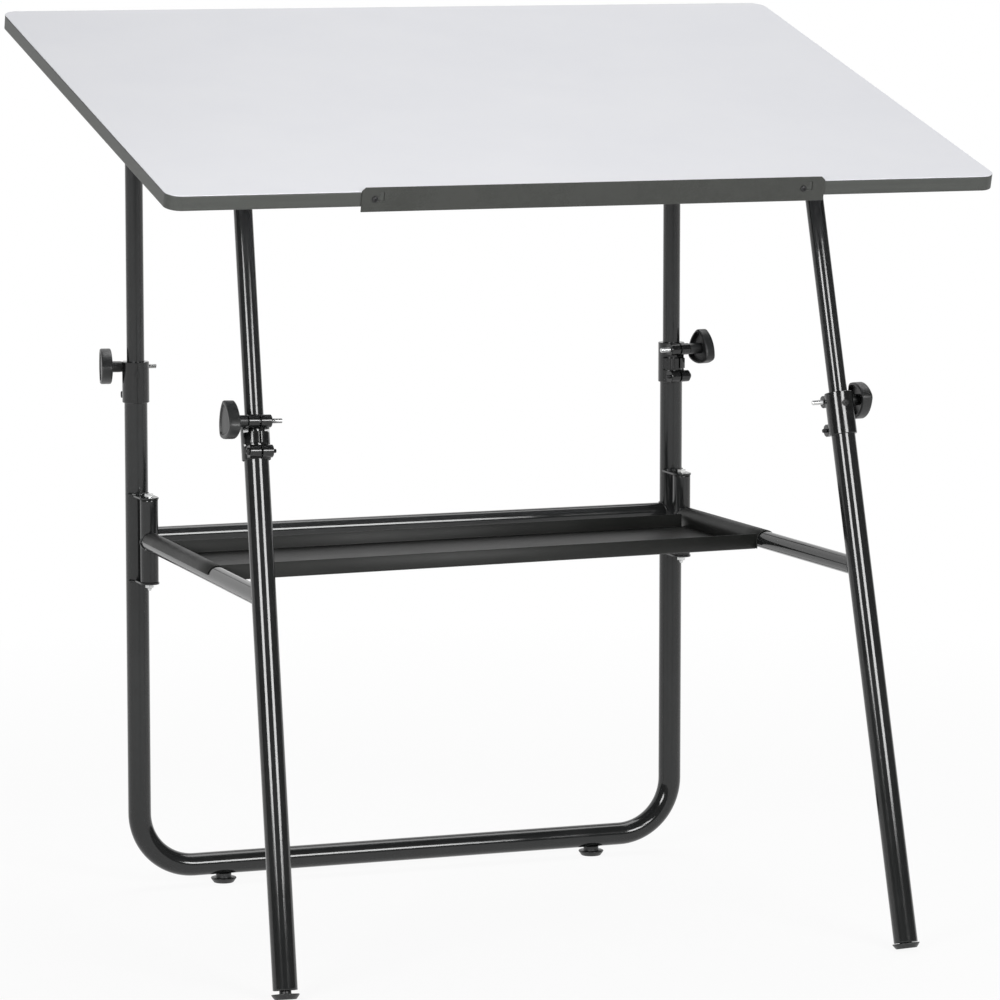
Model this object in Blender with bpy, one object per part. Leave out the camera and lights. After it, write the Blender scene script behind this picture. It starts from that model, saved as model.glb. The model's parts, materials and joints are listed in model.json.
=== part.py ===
"""Folding craft table: a tilted board on a rear U frame and two front legs that swing in.

Metres, +Z up, front at -Y. The origin is at the middle of the footprint, on the floor.
"""
import math

import bmesh
import bpy
from mathutils import Matrix, Vector

# General
CLEAR = 0.0003          # gap between pieces that touch or slide
TUBE_SIDES = 20
SMALL_SIDES = 12

# Board
TOP_WIDTH = 1.067
TOP_DEPTH = 0.762
TOP_THICK = 0.019
TOP_CORNER = 0.019
TOP_TILT = math.radians(14.62)
TOP_FRONT_HEIGHT = 0.9594       # upper front edge above the floor
BAND_THICK = 0.002
CORNER_STEPS = 8

# Board hinge over the rear posts
PIVOT_FROM_BACK = 0.0767        # from the rear edge, along the board
PIVOT_DROP = 0.022              # pivot axis below the underside
PIN_R = 0.003
PIN_HEAD_R = 0.0045
PIN_HEAD_LONG = 0.002
BRACKET_LONG = 0.060
BRACKET_WIDE = 0.050
BRACKET_SHEET = 0.0025
BRACKET_EYE_R = 0.010
TONGUE_WIDE = 0.012
TONGUE_EYE_R = 0.009
HEAD_FLANGE_DROP = 0.018        # top of the head's flange below the pivot
HEAD_FLANGE_THICK = 0.002
PLUG_LONG = 0.025

# Tubes
TUBE_R = 0.015
TUBE_WALL = 0.0015
POST_R = 0.0115
POST_WALL = 0.0015
POST_INSERT = 0.200             # post length held below the end of its outer tube

# Rear U frame
UPRIGHT_SPACING = 0.7542
REAR_TUBE_TOP = 0.6708
BEND_R = 0.074
BEND_STEPS = 8
FOOT_RISE = 0.0116              # underside of the bottom bar above the floor
REAR_FOOT_SPACING = 0.5239
CROSS_R = 0.0117
CROSS_HEIGHT = 0.4679

# Leg hinges, one in front of each upright
HINGE_FORWARD = 0.0458
HINGE_INWARD = 0.003
SLEEVE_R = 0.0118
SLEEVE_LONG = 0.1081
SLEEVE_BOTTOM = 0.4141
PLATE_THICK = 0.0025
PLATE_HALF_WIDE = 0.0127
PLATE_SETBACK = 0.0073          # plate's rear edge ahead of the upright's axis
HINGE_BOLT_R = 0.003
HEX_R = 0.0058
HEX_THICK = 0.0045
BOLT_END = 0.004                # thread past the nut

# Swing arms and front legs
ARM_R = 0.0117
ARM_WALL = 0.0015
ARM_LONG = 0.5406               # hinge axis to leg axis
ARM_SPLAY = math.radians(1.854)
ARM_HEIGHT = 0.4669
LEG_LEAN = math.radians(14.405)
LEG_SPLAY = math.radians(1.755)
LEG_TUBE_TOP = 0.6554           # height of the outer tube's end
CAP_R = 0.0125
CAP_RIM = 0.006                 # least height of the post cap's rim
REST_THICK = 0.004
REST_WIDE = 0.044
REST_FORWARD = 0.095
REST_BACK = 0.042

# Feet
GLIDE_R = 0.017
GLIDE_BASE_R = 0.0135
GLIDE_HIGH = 0.0068
NECK_R = 0.0055
NECK_SHOWN = 0.0041             # neck between a front leg and its glide
NECK_HELD = 0.012
LEG_PLUG_LONG = 0.025

# Split clamp collars
COLLAR_R = 0.0176
COLLAR_HIGH = 0.0535
COLLAR_STEP = 0.0265            # end of the outer tube inside the collar
BARREL_R = 0.0078
BARREL_HALF = 0.0148
BARREL_OFFSET = 0.0185          # bolt axis from the tube axis
BARREL_LOW = 0.0085
BARREL_HIGH = 0.045
COLLAR_SPLIT = 0.0026
BAND_BLOCK_HALF = 0.0105
BAND_BLOCK_FRONT = 0.0205
BAND_SLIT_LOW = 0.0028           # gaps between the middle band and the barrels
BAND_SLIT_HIGH = 0.0045
REAR_COLLAR_TURN = math.radians(11)     # the rear knobs point a little to the back

# Clamp bolts and knobs
STUD_R = 0.003
STUD_TIP = 0.0140               # thread past the barrel
STUD_HELD = 0.010
CLAMP_BOLT_R = 0.0025
CLAMP_HEAD_R = 0.0045
CLAMP_HEAD_LONG = 0.0028
CLAMP_TIP = 0.0045
KNOB_STEM_R = 0.0072
KNOB_STEM_LONG = 0.0147
KNOB_THICK = 0.0143
KNOB_EDGE = 0.0014              # rounding of the rim
KNOB_SIDE = 0.0305              # between the centres of the grip's corners
KNOB_CORNER = 0.008
KNOB_ARC_STEPS = 4
KNOB_WALL = 0.003               # round the hollow in the grip's back
KNOB_HOLLOW = 0.005
KNOB_TURNS = {"front_left": 5, "rear_left": -90, "front_right": -90, "rear_right": 180}

# Pencil ledge
LEDGE_WIDTH = 0.596
LEDGE_SHEET = 0.0015
LEDGE_ABOVE = 0.0051
LEDGE_BELOW = 0.0062
LEDGE_CLIP = 0.0045
LEDGE_ASIDE = 0.0022            # ledge's middle, right of the board's
LEDGE_LEFT_MARGIN = 0.0164      # ledge's ends to its screws
LEDGE_RIGHT_MARGIN = 0.0280
SLOT_WIDE = 0.005
SLOT_ACROSS = 0.0095
SLOT_UP = 0.0058
SCREW_R = 0.002
SCREW_HEAD_R = 0.0038
SCREW_HEAD_HIGH = 0.0022
SCREW_LONG = 0.016

# Tray
TRAY_SHEET = 0.0012
HOOK_BACK = 0.014               # hooks' rear ends ahead of the hinge axis
HOOK_FRONT_LEFT = 0.3295        # the tray sits a little askew, its left side ahead
HOOK_FRONT_RIGHT = 0.2665
PAN_FRONT_LEFT = 0.302
PAN_FRONT_RIGHT = 0.2645
PAN_BACK_LEFT = 0.055
PAN_BACK_RIGHT = 0.033
TRAY_FLOOR_DROP = 0.0112        # floor's underside below the arm axis
TRAY_WALL = 0.0198
TRAY_BACK_WALL = 0.018
TRAY_CORNER_SLIT = 0.002
LIP_ANGLE = math.radians(8)     # where the lip ends above the arm's middle
LIP_STEPS = 14

for item in list(bpy.data.objects):
    bpy.data.objects.remove(item, do_unlink=True)


# Materials

def material(name, colour, roughness, metallic=0.0):
    made = bpy.data.materials.new(name)
    made.use_nodes = True
    shader = made.node_tree.nodes["Principled BSDF"]
    shader.inputs["Base Color"].default_value = (*colour, 1.0)
    shader.inputs["Roughness"].default_value = roughness
    shader.inputs["Metallic"].default_value = metallic
    return made


LAMINATE = material("laminate", (0.75, 0.75, 0.79), 0.45)
EDGING = material("edging", (0.075, 0.08, 0.075), 0.5)
GLOSS_BLACK = material("gloss_black_enamel", (0.02, 0.021, 0.021), 0.22)
SATIN_BLACK = material("satin_black_sheet", (0.03, 0.03, 0.028), 0.45)
BLACK_PLASTIC = material("black_plastic", (0.03, 0.031, 0.031), 0.5)
ZINC = material("zinc_plate", (0.72, 0.73, 0.72), 0.3, 1.0)


# Mesh tools

def finished(bm, smooth_angle=35):
    """Turn a bmesh into a mesh with its faces pointing out, round parts shaded smooth."""
    bmesh.ops.recalc_face_normals(bm, faces=bm.faces)
    mesh = bpy.data.meshes.new("solid")
    bm.to_mesh(mesh)
    bm.free()
    mesh.shade_smooth()
    mesh.set_sharp_from_angle(angle=math.radians(smooth_angle))
    return mesh


def loop_faces(bm, one, other):
    """Join two equal closed loops of vertices with quads."""
    count = len(one)
    for i in range(count):
        j = (i + 1) % count
        bm.faces.new((one[i], one[j], other[j], other[i]))


def loft(loops):
    """A solid through closed loops of points, capped at both ends."""
    bm = bmesh.new()
    rings = [[bm.verts.new(p) for p in loop] for loop in loops]
    for one, other in zip(rings, rings[1:]):
        loop_faces(bm, one, other)
    bm.faces.new(rings[0])
    bm.faces.new(rings[-1])
    return finished(bm)


def prism(outline, low, high):
    """An outline in X and Y, extruded from low to high along Z."""
    return loft([[(x, y, z) for x, y in outline] for z in (low, high)])


def block(low, high):
    outline = [(low[0], low[1]), (high[0], low[1]), (high[0], high[1]), (low[0], high[1])]
    return prism(outline, low[2], high[2])


def circle(radius, sides):
    turn = 2 * math.pi / sides
    return [(radius * math.cos(i * turn), radius * math.sin(i * turn)) for i in range(sides)]


def turned(profile, sides=TUBE_SIDES):
    """A solid of revolution about Z through (radius, height) pairs, capped flat."""
    return loft([[(x, y, z) for x, y in circle(r, sides)] for r, z in profile])


def rod(radius, low, high, sides=TUBE_SIDES):
    return turned([(radius, low), (radius, high)], sides)


def hexagon(radius, low, high):
    return rod(radius, low, high, 6)


def swept_tube(path, side, outer, inner, sides=TUBE_SIDES):
    """A hollow tube along a flat path; side is the path plane's normal."""
    bm = bmesh.new()
    rings = {outer: [], inner: []}
    for i, point in enumerate(path):
        before, after = path[max(i - 1, 0)], path[min(i + 1, len(path) - 1)]
        along = (after - before).normalized()
        across = side.cross(along).normalized()
        for radius, made in rings.items():
            made.append([bm.verts.new(point + side * y + across * x) for x, y in circle(radius, sides)])
    for made in rings.values():
        for one, other in zip(made, made[1:]):
            loop_faces(bm, one, other)
    for end in (0, -1):
        loop_faces(bm, rings[outer][end], rings[inner][end])
    return finished(bm)


def straight_tube(low, high, outer, inner):
    return swept_tube([Vector((0, 0, low)), Vector((0, 0, high))], Vector((1, 0, 0)), outer, inner)


def moved(mesh, matrix):
    mesh.transform(matrix)
    return mesh


def shift(x, y, z):
    return Matrix.Translation((x, y, z))


ALONG_X = Matrix.Rotation(math.radians(90), 4, "Y")     # turns +Z to +X


def combined(mesh, tools, operation):
    """A mesh joined with, or cut by, each of the tool meshes in turn."""
    work = bpy.data.objects.new("work", mesh)
    bpy.context.scene.collection.objects.link(work)
    cutters = []
    for tool in tools:
        cutter = bpy.data.objects.new("cutter", tool)
        cutter.hide_render = True
        cutter.display_type = "WIRE"
        bpy.context.scene.collection.objects.link(cutter)
        step = work.modifiers.new("step", "BOOLEAN")
        step.operation = operation
        step.solver = "EXACT"
        step.object = cutter
        cutters.append(cutter)
    graph = bpy.context.evaluated_depsgraph_get()
    result = bpy.data.meshes.new_from_object(work.evaluated_get(graph))
    for used in [work, *cutters]:
        bpy.data.objects.remove(used, do_unlink=True)
    return result


def cut(mesh, *tools):
    return combined(mesh, tools, "DIFFERENCE")


def joined(mesh, *tools):
    return combined(mesh, tools, "UNION")


# Placing

def frame(name, parent, matrix):
    """An empty on a joint axis or a column axis, which carries the pieces placed from it."""
    made = bpy.data.objects.new(name, None)
    bpy.context.scene.collection.objects.link(made)
    made.parent = parent
    made.matrix_local = matrix
    return made


def piece(name, mesh, finish, parent, matrix=None):
    made = bpy.data.objects.new(name, mesh)
    mesh.materials.clear()
    mesh.materials.append(finish)
    bpy.context.scene.collection.objects.link(made)
    made.parent = parent
    made.matrix_local = matrix or Matrix()
    return made


# Places worked out from the sizes

SIDES = (("left", -1), ("right", 1))
UPRIGHT_X = UPRIGHT_SPACING / 2
BAR_HEIGHT = FOOT_RISE + TUBE_R
PIVOT_DEPTH = PIVOT_DROP + TOP_THICK
UNDERSIDE = PIVOT_DROP
PIVOT_SETBACK = TOP_DEPTH - PIVOT_FROM_BACK     # from the front edge
BOARD_FRONT = -PIVOT_SETBACK
BOARD_BACK = PIVOT_FROM_BACK
PIVOT_HEIGHT = (
    TOP_FRONT_HEIGHT + PIVOT_SETBACK * math.sin(TOP_TILT) - PIVOT_DEPTH * math.cos(TOP_TILT)
)
HINGE_X = UPRIGHT_X - HINGE_INWARD
REAR_POST_TOP = PIVOT_HEIGHT - HEAD_FLANGE_DROP - HEAD_FLANGE_THICK - CLEAR
BORE_R = POST_R - POST_WALL - CLEAR


def leg_direction(side):
    """The front leg's axis, pointing up."""
    return Vector((-side * math.tan(LEG_SPLAY), math.tan(LEG_LEAN), 1)).normalized()


def leg_floor_point(side):
    """Where the leg's axis meets the floor, seen from its hinge axis."""
    at_arm = Vector((side * math.sin(ARM_SPLAY), -math.cos(ARM_SPLAY), 0)) * ARM_LONG
    at_arm.z = ARM_HEIGHT
    along = leg_direction(side)
    return at_arm - along * (ARM_HEIGHT / along.z)


def leg_matrix(side):
    """The leg's own frame: Z up the leg, X across the table, origin on the floor."""
    up = leg_direction(side)
    across = (Vector((1, 0, 0)) - up * up.x).normalized()
    back = up.cross(across)
    turn = Matrix((across, back, up)).transposed().to_4x4()
    return Matrix.Translation(leg_floor_point(side)) @ turn


# Frames that carry the pieces; the rear uprights stand on the table frame's X axis

table = frame("table", None, Matrix())
top_frame = frame(
    "top_pivot", table, shift(0, 0, PIVOT_HEIGHT) @ Matrix.Rotation(TOP_TILT, 4, "X")
)
uprights = {s: frame(f"{n}_upright_axis", table, shift(s * UPRIGHT_X, 0, 0)) for n, s in SIDES}
hinges = {s: frame(f"{n}_hinge_axis", table, shift(s * HINGE_X, -HINGE_FORWARD, 0)) for n, s in SIDES}
legs = {s: frame(f"{n}_leg_axis", hinges[s], leg_matrix(s)) for n, s in SIDES}


# Board

def rounded_outline(inset):
    """The board's outline, in from its edge by inset."""
    half = TOP_WIDTH / 2 - inset
    front, back = BOARD_FRONT + inset, BOARD_BACK - inset
    radius = TOP_CORNER - inset
    points = []
    for x, y, start in ((half, back, 0), (-half, back, 90), (-half, front, 180), (half, front, 270)):
        centre_x = x - math.copysign(radius, x)
        centre_y = y - math.copysign(radius, y)
        for i in range(CORNER_STEPS + 1):
            turn = math.radians(start + 90 * i / CORNER_STEPS)
            points.append((centre_x + radius * math.cos(turn), centre_y + radius * math.sin(turn)))
    return points


def ledge_screw_x(side):
    margin = LEDGE_LEFT_MARGIN if side < 0 else LEDGE_RIGHT_MARGIN
    return LEDGE_ASIDE + side * (LEDGE_WIDTH / 2 - margin)


SCREW_MIDDLE = UNDERSIDE + TOP_THICK / 2


def along_front(mesh, x, z=SCREW_MIDDLE):
    """Lay a piece made along +Z into the board's front edge, pointing back."""
    return moved(mesh, shift(x, BOARD_FRONT, z) @ Matrix.Rotation(math.radians(-90), 4, "X"))


def screw_holes():
    return [
        along_front(rod(SCREW_R + CLEAR, -SCREW_LONG, SCREW_LONG + CLEAR, SMALL_SIDES), ledge_screw_x(s))
        for _, s in SIDES
    ]


def edge_band():
    """The moulded strip round the board's edge."""
    bm = bmesh.new()
    rings = []
    for inset in (0, BAND_THICK):
        for z in (UNDERSIDE, UNDERSIDE + TOP_THICK):
            rings.append([bm.verts.new((x, y, z)) for x, y in rounded_outline(inset)])
    outer_low, outer_high, inner_low, inner_high = rings
    loop_faces(bm, outer_low, outer_high)
    loop_faces(bm, outer_high, inner_high)
    loop_faces(bm, inner_high, inner_low)
    loop_faces(bm, inner_low, outer_low)
    return finished(bm)


board = prism(rounded_outline(BAND_THICK + CLEAR), UNDERSIDE, UNDERSIDE + TOP_THICK)
piece("top_panel", cut(board, *screw_holes()), LAMINATE, top_frame)
piece("edge_band", cut(edge_band(), *screw_holes()), EDGING, top_frame)


# Pencil ledge on the board's front edge

def pencil_ledge():
    low, high = UNDERSIDE - LEDGE_BELOW, UNDERSIDE + TOP_THICK + LEDGE_ABOVE
    left, right = LEDGE_ASIDE - LEDGE_WIDTH / 2, LEDGE_ASIDE + LEDGE_WIDTH / 2
    outline = [
        (left, low), (right, low), (right, high - LEDGE_CLIP), (right - LEDGE_CLIP, high),
        (left + LEDGE_CLIP, high), (left, high - LEDGE_CLIP),
    ]
    near = BOARD_FRONT - CLEAR
    far = near - LEDGE_SHEET
    sheet = loft([[(x, y, z) for x, z in outline] for y in (far, near)])
    slots = []
    reach = SLOT_WIDE / 2
    for _, side in SIDES:
        x = ledge_screw_x(side)
        across = block(
            (x - reach, far - CLEAR, SCREW_MIDDLE - reach),
            (x + SLOT_ACROSS + reach, near + CLEAR, SCREW_MIDDLE + reach),
        )
        up = block(
            (x + SLOT_ACROSS - reach, far - CLEAR, SCREW_MIDDLE - reach),
            (x + SLOT_ACROSS + reach, near + CLEAR, SCREW_MIDDLE + SLOT_UP + reach),
        )
        slots.append(joined(across, up))
    return cut(sheet, *slots)


def ledge_screw():
    """A pan-head screw; its head's underside is at the origin and its shank runs along +Z."""
    return turned(
        [
            (SCREW_HEAD_R * 0.55, -SCREW_HEAD_HIGH), (SCREW_HEAD_R * 0.9, -SCREW_HEAD_HIGH * 0.7),
            (SCREW_HEAD_R, -SCREW_HEAD_HIGH * 0.3), (SCREW_HEAD_R, 0), (SCREW_R, 0),
            (SCREW_R, SCREW_LONG),
        ],
        SMALL_SIDES,
    )


piece("pencil_ledge", pencil_ledge(), SATIN_BLACK, top_frame)
HEAD_SEAT = LEDGE_SHEET + 2 * CLEAR
for name, side in SIDES:
    seated = moved(ledge_screw(), shift(0, 0, -HEAD_SEAT))
    piece(f"ledge_screw_{name}", along_front(seated, ledge_screw_x(side)), SATIN_BLACK, top_frame)


# Rear frame

def u_path():
    """The tube's middle line: down the left upright, along the floor bar, up the right one."""
    points = [Vector((-UPRIGHT_X, 0, REAR_TUBE_TOP))]
    for centre_x, start in ((BEND_R - UPRIGHT_X, 180), (UPRIGHT_X - BEND_R, 270)):
        for i in range(BEND_STEPS + 1):
            turn = math.radians(start + 90 * i / BEND_STEPS)
            points.append(
                Vector((centre_x + BEND_R * math.cos(turn), 0, BAR_HEIGHT + BEND_R * (1 + math.sin(turn))))
            )
    points.append(Vector((UPRIGHT_X, 0, REAR_TUBE_TOP)))
    return points


def rear_foot_x(side):
    return side * REAR_FOOT_SPACING / 2


neck_holes = [
    moved(rod(NECK_R + CLEAR, 0, FOOT_RISE + NECK_HELD + CLEAR, SMALL_SIDES), shift(rear_foot_x(s), 0, 0))
    for _, s in SIDES
]
u_tube = swept_tube(u_path(), Vector((0, 1, 0)), TUBE_R, TUBE_R - TUBE_WALL)
piece("rear_frame", cut(u_tube, *neck_holes), GLOSS_BLACK, table)

cross = moved(straight_tube(-UPRIGHT_X, UPRIGHT_X, CROSS_R, CROSS_R - TUBE_WALL), ALONG_X)
cross = moved(cross, shift(0, 0, CROSS_HEIGHT))
coping = [
    moved(rod(TUBE_R + CLEAR, CROSS_HEIGHT - TUBE_R, CROSS_HEIGHT + TUBE_R), shift(s * UPRIGHT_X, 0, 0))
    for _, s in SIDES
]
piece("rear_cross_tube", cut(cross, *coping), GLOSS_BLACK, table)


# Feet: a glide with its neck, made along +Z from its base

def foot(neck_top):
    edge = GLIDE_HIGH * 0.12
    return turned(
        [
            (GLIDE_BASE_R, 0), (GLIDE_R, GLIDE_HIGH - edge), (GLIDE_R, GLIDE_HIGH),
            (NECK_R, GLIDE_HIGH), (NECK_R, neck_top),
        ]
    )


for name, side in SIDES:
    piece(f"rear_foot_{name}", foot(FOOT_RISE + NECK_HELD), BLACK_PLASTIC, table,
          shift(rear_foot_x(side), 0, 0))

LEG_TAN = math.hypot(math.tan(LEG_LEAN), math.tan(LEG_SPLAY))
LEG_COS = 1 / math.hypot(1, LEG_TAN)
GLIDE_LIFT = GLIDE_BASE_R * LEG_TAN         # a leaning glide stands on the back of its base
LEG_END = GLIDE_LIFT + GLIDE_HIGH + NECK_SHOWN
LEG_TOP = LEG_TUBE_TOP / LEG_COS


# Leg hinges: plates, bolt and nut on the upright, sleeve on the leg

def hinge_plate(bottom):
    """A flat lug from the upright to the hinge axis, rounded about it; its origin is on that axis."""
    back = HINGE_FORWARD - PLATE_SETBACK
    outline = [(PLATE_HALF_WIDE, back), (-PLATE_HALF_WIDE, back)]
    steps = TUBE_SIDES // 2
    for i in range(steps + 1):
        turn = math.pi * (1 + i / steps)
        outline.append((PLATE_HALF_WIDE * math.cos(turn), PLATE_HALF_WIDE * math.sin(turn)))
    lug = prism(outline, bottom, bottom + PLATE_THICK)
    bolt = rod(HINGE_BOLT_R + CLEAR, bottom - CLEAR, bottom + PLATE_THICK + CLEAR, SMALL_SIDES)
    return lug, bolt


UPPER_PLATE = SLEEVE_BOTTOM + SLEEVE_LONG + CLEAR
LOWER_PLATE = SLEEVE_BOTTOM - CLEAR - PLATE_THICK
HEX_SEAT = UPPER_PLATE + PLATE_THICK + CLEAR
NUT_TOP = LOWER_PLATE - CLEAR

for name, side in SIDES:
    for level, bottom in (("upper", UPPER_PLATE), ("lower", LOWER_PLATE)):
        lug, bolt = hinge_plate(bottom)
        upright = moved(
            rod(TUBE_R + CLEAR, bottom - TUBE_R, bottom + TUBE_R),
            shift(side * HINGE_INWARD, HINGE_FORWARD, 0),
        )
        piece(f"hinge_plate_{level}_{name}", cut(lug, bolt, upright), GLOSS_BLACK, hinges[side])
    shank_low = NUT_TOP - HEX_THICK - BOLT_END
    shank = rod(HINGE_BOLT_R, shank_low, HEX_SEAT + HEX_THICK / 2, SMALL_SIDES)
    head = hexagon(HEX_R, HEX_SEAT, HEX_SEAT + HEX_THICK)
    piece(f"hinge_bolt_{name}", joined(head, shank), ZINC, hinges[side])
    nut = hexagon(HEX_R, NUT_TOP - HEX_THICK, NUT_TOP)
    thread = rod(HINGE_BOLT_R + CLEAR, NUT_TOP - HEX_THICK - CLEAR, NUT_TOP + CLEAR, SMALL_SIDES)
    piece(f"hinge_nut_{name}", cut(nut, thread), ZINC, hinges[side])
    sleeve = straight_tube(
        SLEEVE_BOTTOM, SLEEVE_BOTTOM + SLEEVE_LONG, SLEEVE_R, HINGE_BOLT_R + CLEAR
    )
    piece(f"hinge_sleeve_{name}", sleeve, GLOSS_BLACK, hinges[side])


# Swing arms, coped to the sleeve and to the leg

def arm_matrix(side):
    """From the hinge axis out along the arm: +Z along it."""
    turn = Matrix.Rotation(side * ARM_SPLAY, 4, "Z")
    return shift(0, 0, ARM_HEIGHT) @ turn @ Matrix.Rotation(math.radians(90), 4, "X")


for name, side in SIDES:
    arm = moved(straight_tube(0, ARM_LONG, ARM_R, ARM_R - ARM_WALL), arm_matrix(side))
    at_sleeve = rod(SLEEVE_R + CLEAR, ARM_HEIGHT - 2 * ARM_R, ARM_HEIGHT + 2 * ARM_R)
    middle = ARM_HEIGHT / LEG_COS
    at_leg = moved(rod(TUBE_R + CLEAR, middle - 2 * TUBE_R, middle + 2 * TUBE_R), leg_matrix(side))
    piece(f"side_arm_{name}", cut(arm, at_sleeve, at_leg), GLOSS_BLACK, hinges[side])


# Front legs, their end plugs and feet

for name, side in SIDES:
    tube = straight_tube(LEG_END, LEG_TOP, TUBE_R, TUBE_R - TUBE_WALL)
    piece(f"front_leg_{name}", tube, GLOSS_BLACK, legs[side])
    plug = straight_tube(
        LEG_END, LEG_END + LEG_PLUG_LONG, TUBE_R - TUBE_WALL - CLEAR, NECK_R + CLEAR
    )
    piece(f"leg_plug_{name}", plug, BLACK_PLASTIC, legs[side])
    piece(f"front_foot_{name}", foot(GLIDE_HIGH + NECK_SHOWN + NECK_HELD), BLACK_PLASTIC, legs[side],
          shift(0, 0, GLIDE_LIFT))


# Split clamp collars, with the bolts across their front

def collar():
    """Origin at the bottom of its bore; the barrels are at -Y and their bolts run along X."""
    ring = rod(COLLAR_R, 0, COLLAR_HIGH)
    parts = []
    for middle in (BARREL_LOW, BARREL_HIGH):
        barrel = moved(rod(BARREL_R, -BARREL_HALF, BARREL_HALF, SMALL_SIDES), ALONG_X)
        parts.append(moved(barrel, shift(0, -BARREL_OFFSET, middle)))
        parts.append(
            block(
                (-BARREL_HALF, -BARREL_OFFSET, middle - BARREL_R * 0.92),
                (BARREL_HALF, 0, middle + BARREL_R * 0.92),
            )
        )
    low, high = BARREL_LOW + BARREL_R, BARREL_HIGH - BARREL_R
    parts.append(
        block(
            (-BAND_BLOCK_HALF, -BAND_BLOCK_FRONT, low + BAND_SLIT_LOW),
            (BAND_BLOCK_HALF, 0, high - BAND_SLIT_HIGH),
        )
    )
    cuts = [
        rod(TUBE_R + CLEAR, -CLEAR, COLLAR_STEP),
        rod(POST_R + CLEAR, COLLAR_STEP - CLEAR, COLLAR_HIGH + CLEAR),
        block(
            (-COLLAR_SPLIT / 2, -2 * COLLAR_R, -CLEAR),
            (COLLAR_SPLIT / 2, -POST_R / 2, COLLAR_HIGH + CLEAR),
        ),
    ]
    for bottom, top in ((low, low + BAND_SLIT_LOW), (high - BAND_SLIT_HIGH, high)):
        cuts.append(block((-2 * COLLAR_R, -2 * COLLAR_R, bottom), (2 * COLLAR_R, -POST_R / 2, top)))
    for z, radius in ((BARREL_LOW, CLAMP_BOLT_R), (BARREL_HIGH, STUD_R)):
        hole = moved(rod(radius + CLEAR, -2 * BARREL_HALF, 2 * BARREL_HALF, SMALL_SIDES), ALONG_X)
        cuts.append(moved(hole, shift(0, -BARREL_OFFSET, z)))
    return cut(joined(ring, *parts), *cuts)


def knob_outline(inset):
    """A triangle with round corners and bowed sides, one corner towards +X, in from its edge by inset."""
    radius = KNOB_CORNER - inset
    first = Vector((KNOB_SIDE / math.sqrt(3), 0))
    corners = [Matrix.Rotation(math.radians(120 * i), 2) @ first for i in range(3)]
    points = []
    for i in range(3):
        # The corner's own arc, then the bowed side about the opposite corner
        for centre, reach, start in ((corners[i], radius, -30), (corners[i - 1], KNOB_SIDE + radius, 30)):
            for step in range(KNOB_ARC_STEPS):
                turn = math.radians(120 * i + start + 60 * step / KNOB_ARC_STEPS)
                points.append((centre.x + reach * math.cos(turn), centre.y + reach * math.sin(turn)))
    return points


def knob():
    """A clamp knob on its stem, along +Z from the barrel's end: dished face, hollow back."""
    back = KNOB_STEM_LONG
    face = back + KNOB_THICK
    levels = [
        (KNOB_EDGE, back), (0, back + KNOB_EDGE), (0, face - KNOB_EDGE), (KNOB_EDGE, face),
        (3 * KNOB_EDGE, face), (4 * KNOB_EDGE, face - KNOB_EDGE),
    ]
    grip = loft([[(x, y, z) for x, y in knob_outline(inset)] for inset, z in levels])
    grip = cut(grip, prism(knob_outline(KNOB_WALL), back - CLEAR, back + KNOB_HOLLOW))
    grip = joined(grip, rod(KNOB_STEM_R, 0, back + KNOB_HOLLOW + KNOB_EDGE, SMALL_SIDES))
    return cut(grip, rod(STUD_R + CLEAR, -CLEAR, STUD_HELD + CLEAR, SMALL_SIDES))


def stud():
    """The knob's bolt: from inside the stem back through both barrels."""
    return rod(STUD_R, -(2 * BARREL_HALF + CLEAR + STUD_TIP), STUD_HELD, SMALL_SIDES)


def clamp_bolt():
    """The lower bolt: head against the barrel's outer end, tip past the inner one."""
    return turned(
        [
            (CLAMP_BOLT_R, -(2 * BARREL_HALF + CLEAR + CLAMP_TIP)), (CLAMP_BOLT_R, 0),
            (CLAMP_HEAD_R, 0), (CLAMP_HEAD_R, CLAMP_HEAD_LONG),
        ],
        SMALL_SIDES,
    )


COLLAR_MESH, KNOB_MESH, STUD_MESH, CLAMP_MESH = collar(), knob(), stud(), clamp_bolt()


def clamp_set(place, column, tube_end, outward, faces_front, turned_back=0.0):
    """A collar on the end of a tube, with its knob on the table's outer side."""
    bottom = tube_end + CLEAR - COLLAR_STEP
    half_turn = 0 if faces_front else math.pi
    seat = shift(0, 0, bottom) @ Matrix.Rotation(outward * turned_back, 4, "Z")
    piece(f"collar_{place}", COLLAR_MESH, BLACK_PLASTIC, column, seat @ Matrix.Rotation(half_turn, 4, "Z"))
    y = -BARREL_OFFSET if faces_front else BARREL_OFFSET
    out = Matrix.Rotation(outward * math.radians(90), 4, "Y")
    x = outward * (BARREL_HALF + CLEAR)
    grip = Matrix.Rotation(math.radians(KNOB_TURNS[place]), 4, "Z")
    for name, mesh, finish, z, turn in (
        ("knob", KNOB_MESH, BLACK_PLASTIC, BARREL_HIGH, grip),
        ("knob_stud", STUD_MESH, ZINC, BARREL_HIGH, Matrix()),
        ("clamp_bolt", CLAMP_MESH, SATIN_BLACK, BARREL_LOW, Matrix()),
    ):
        piece(f"{name}_{place}", mesh, finish, column, seat @ shift(x, y, z) @ out @ turn)


for name, side in SIDES:
    clamp_set(f"front_{name}", legs[side], LEG_TOP, side, side < 0)
    clamp_set(f"rear_{name}", uprights[side], REAR_TUBE_TOP, side, side > 0, REAR_COLLAR_TURN)


# Rear posts with their heads, and the board's hinge brackets

def eye_lug(radius, near, far, reach):
    """A flat lug across X: rounded about the pivot axis and straight on to the height reach."""
    steps = TUBE_SIDES // 2
    outline = [(radius, reach), (-radius, reach)]
    for i in range(steps + 1):
        turn = math.pi * (1 + i / steps)
        outline.append((radius * math.cos(turn), math.copysign(radius, reach) * math.sin(turn)))
    return loft([[(x, y, z) for y, z in outline] for x in (near, far)])


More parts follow.
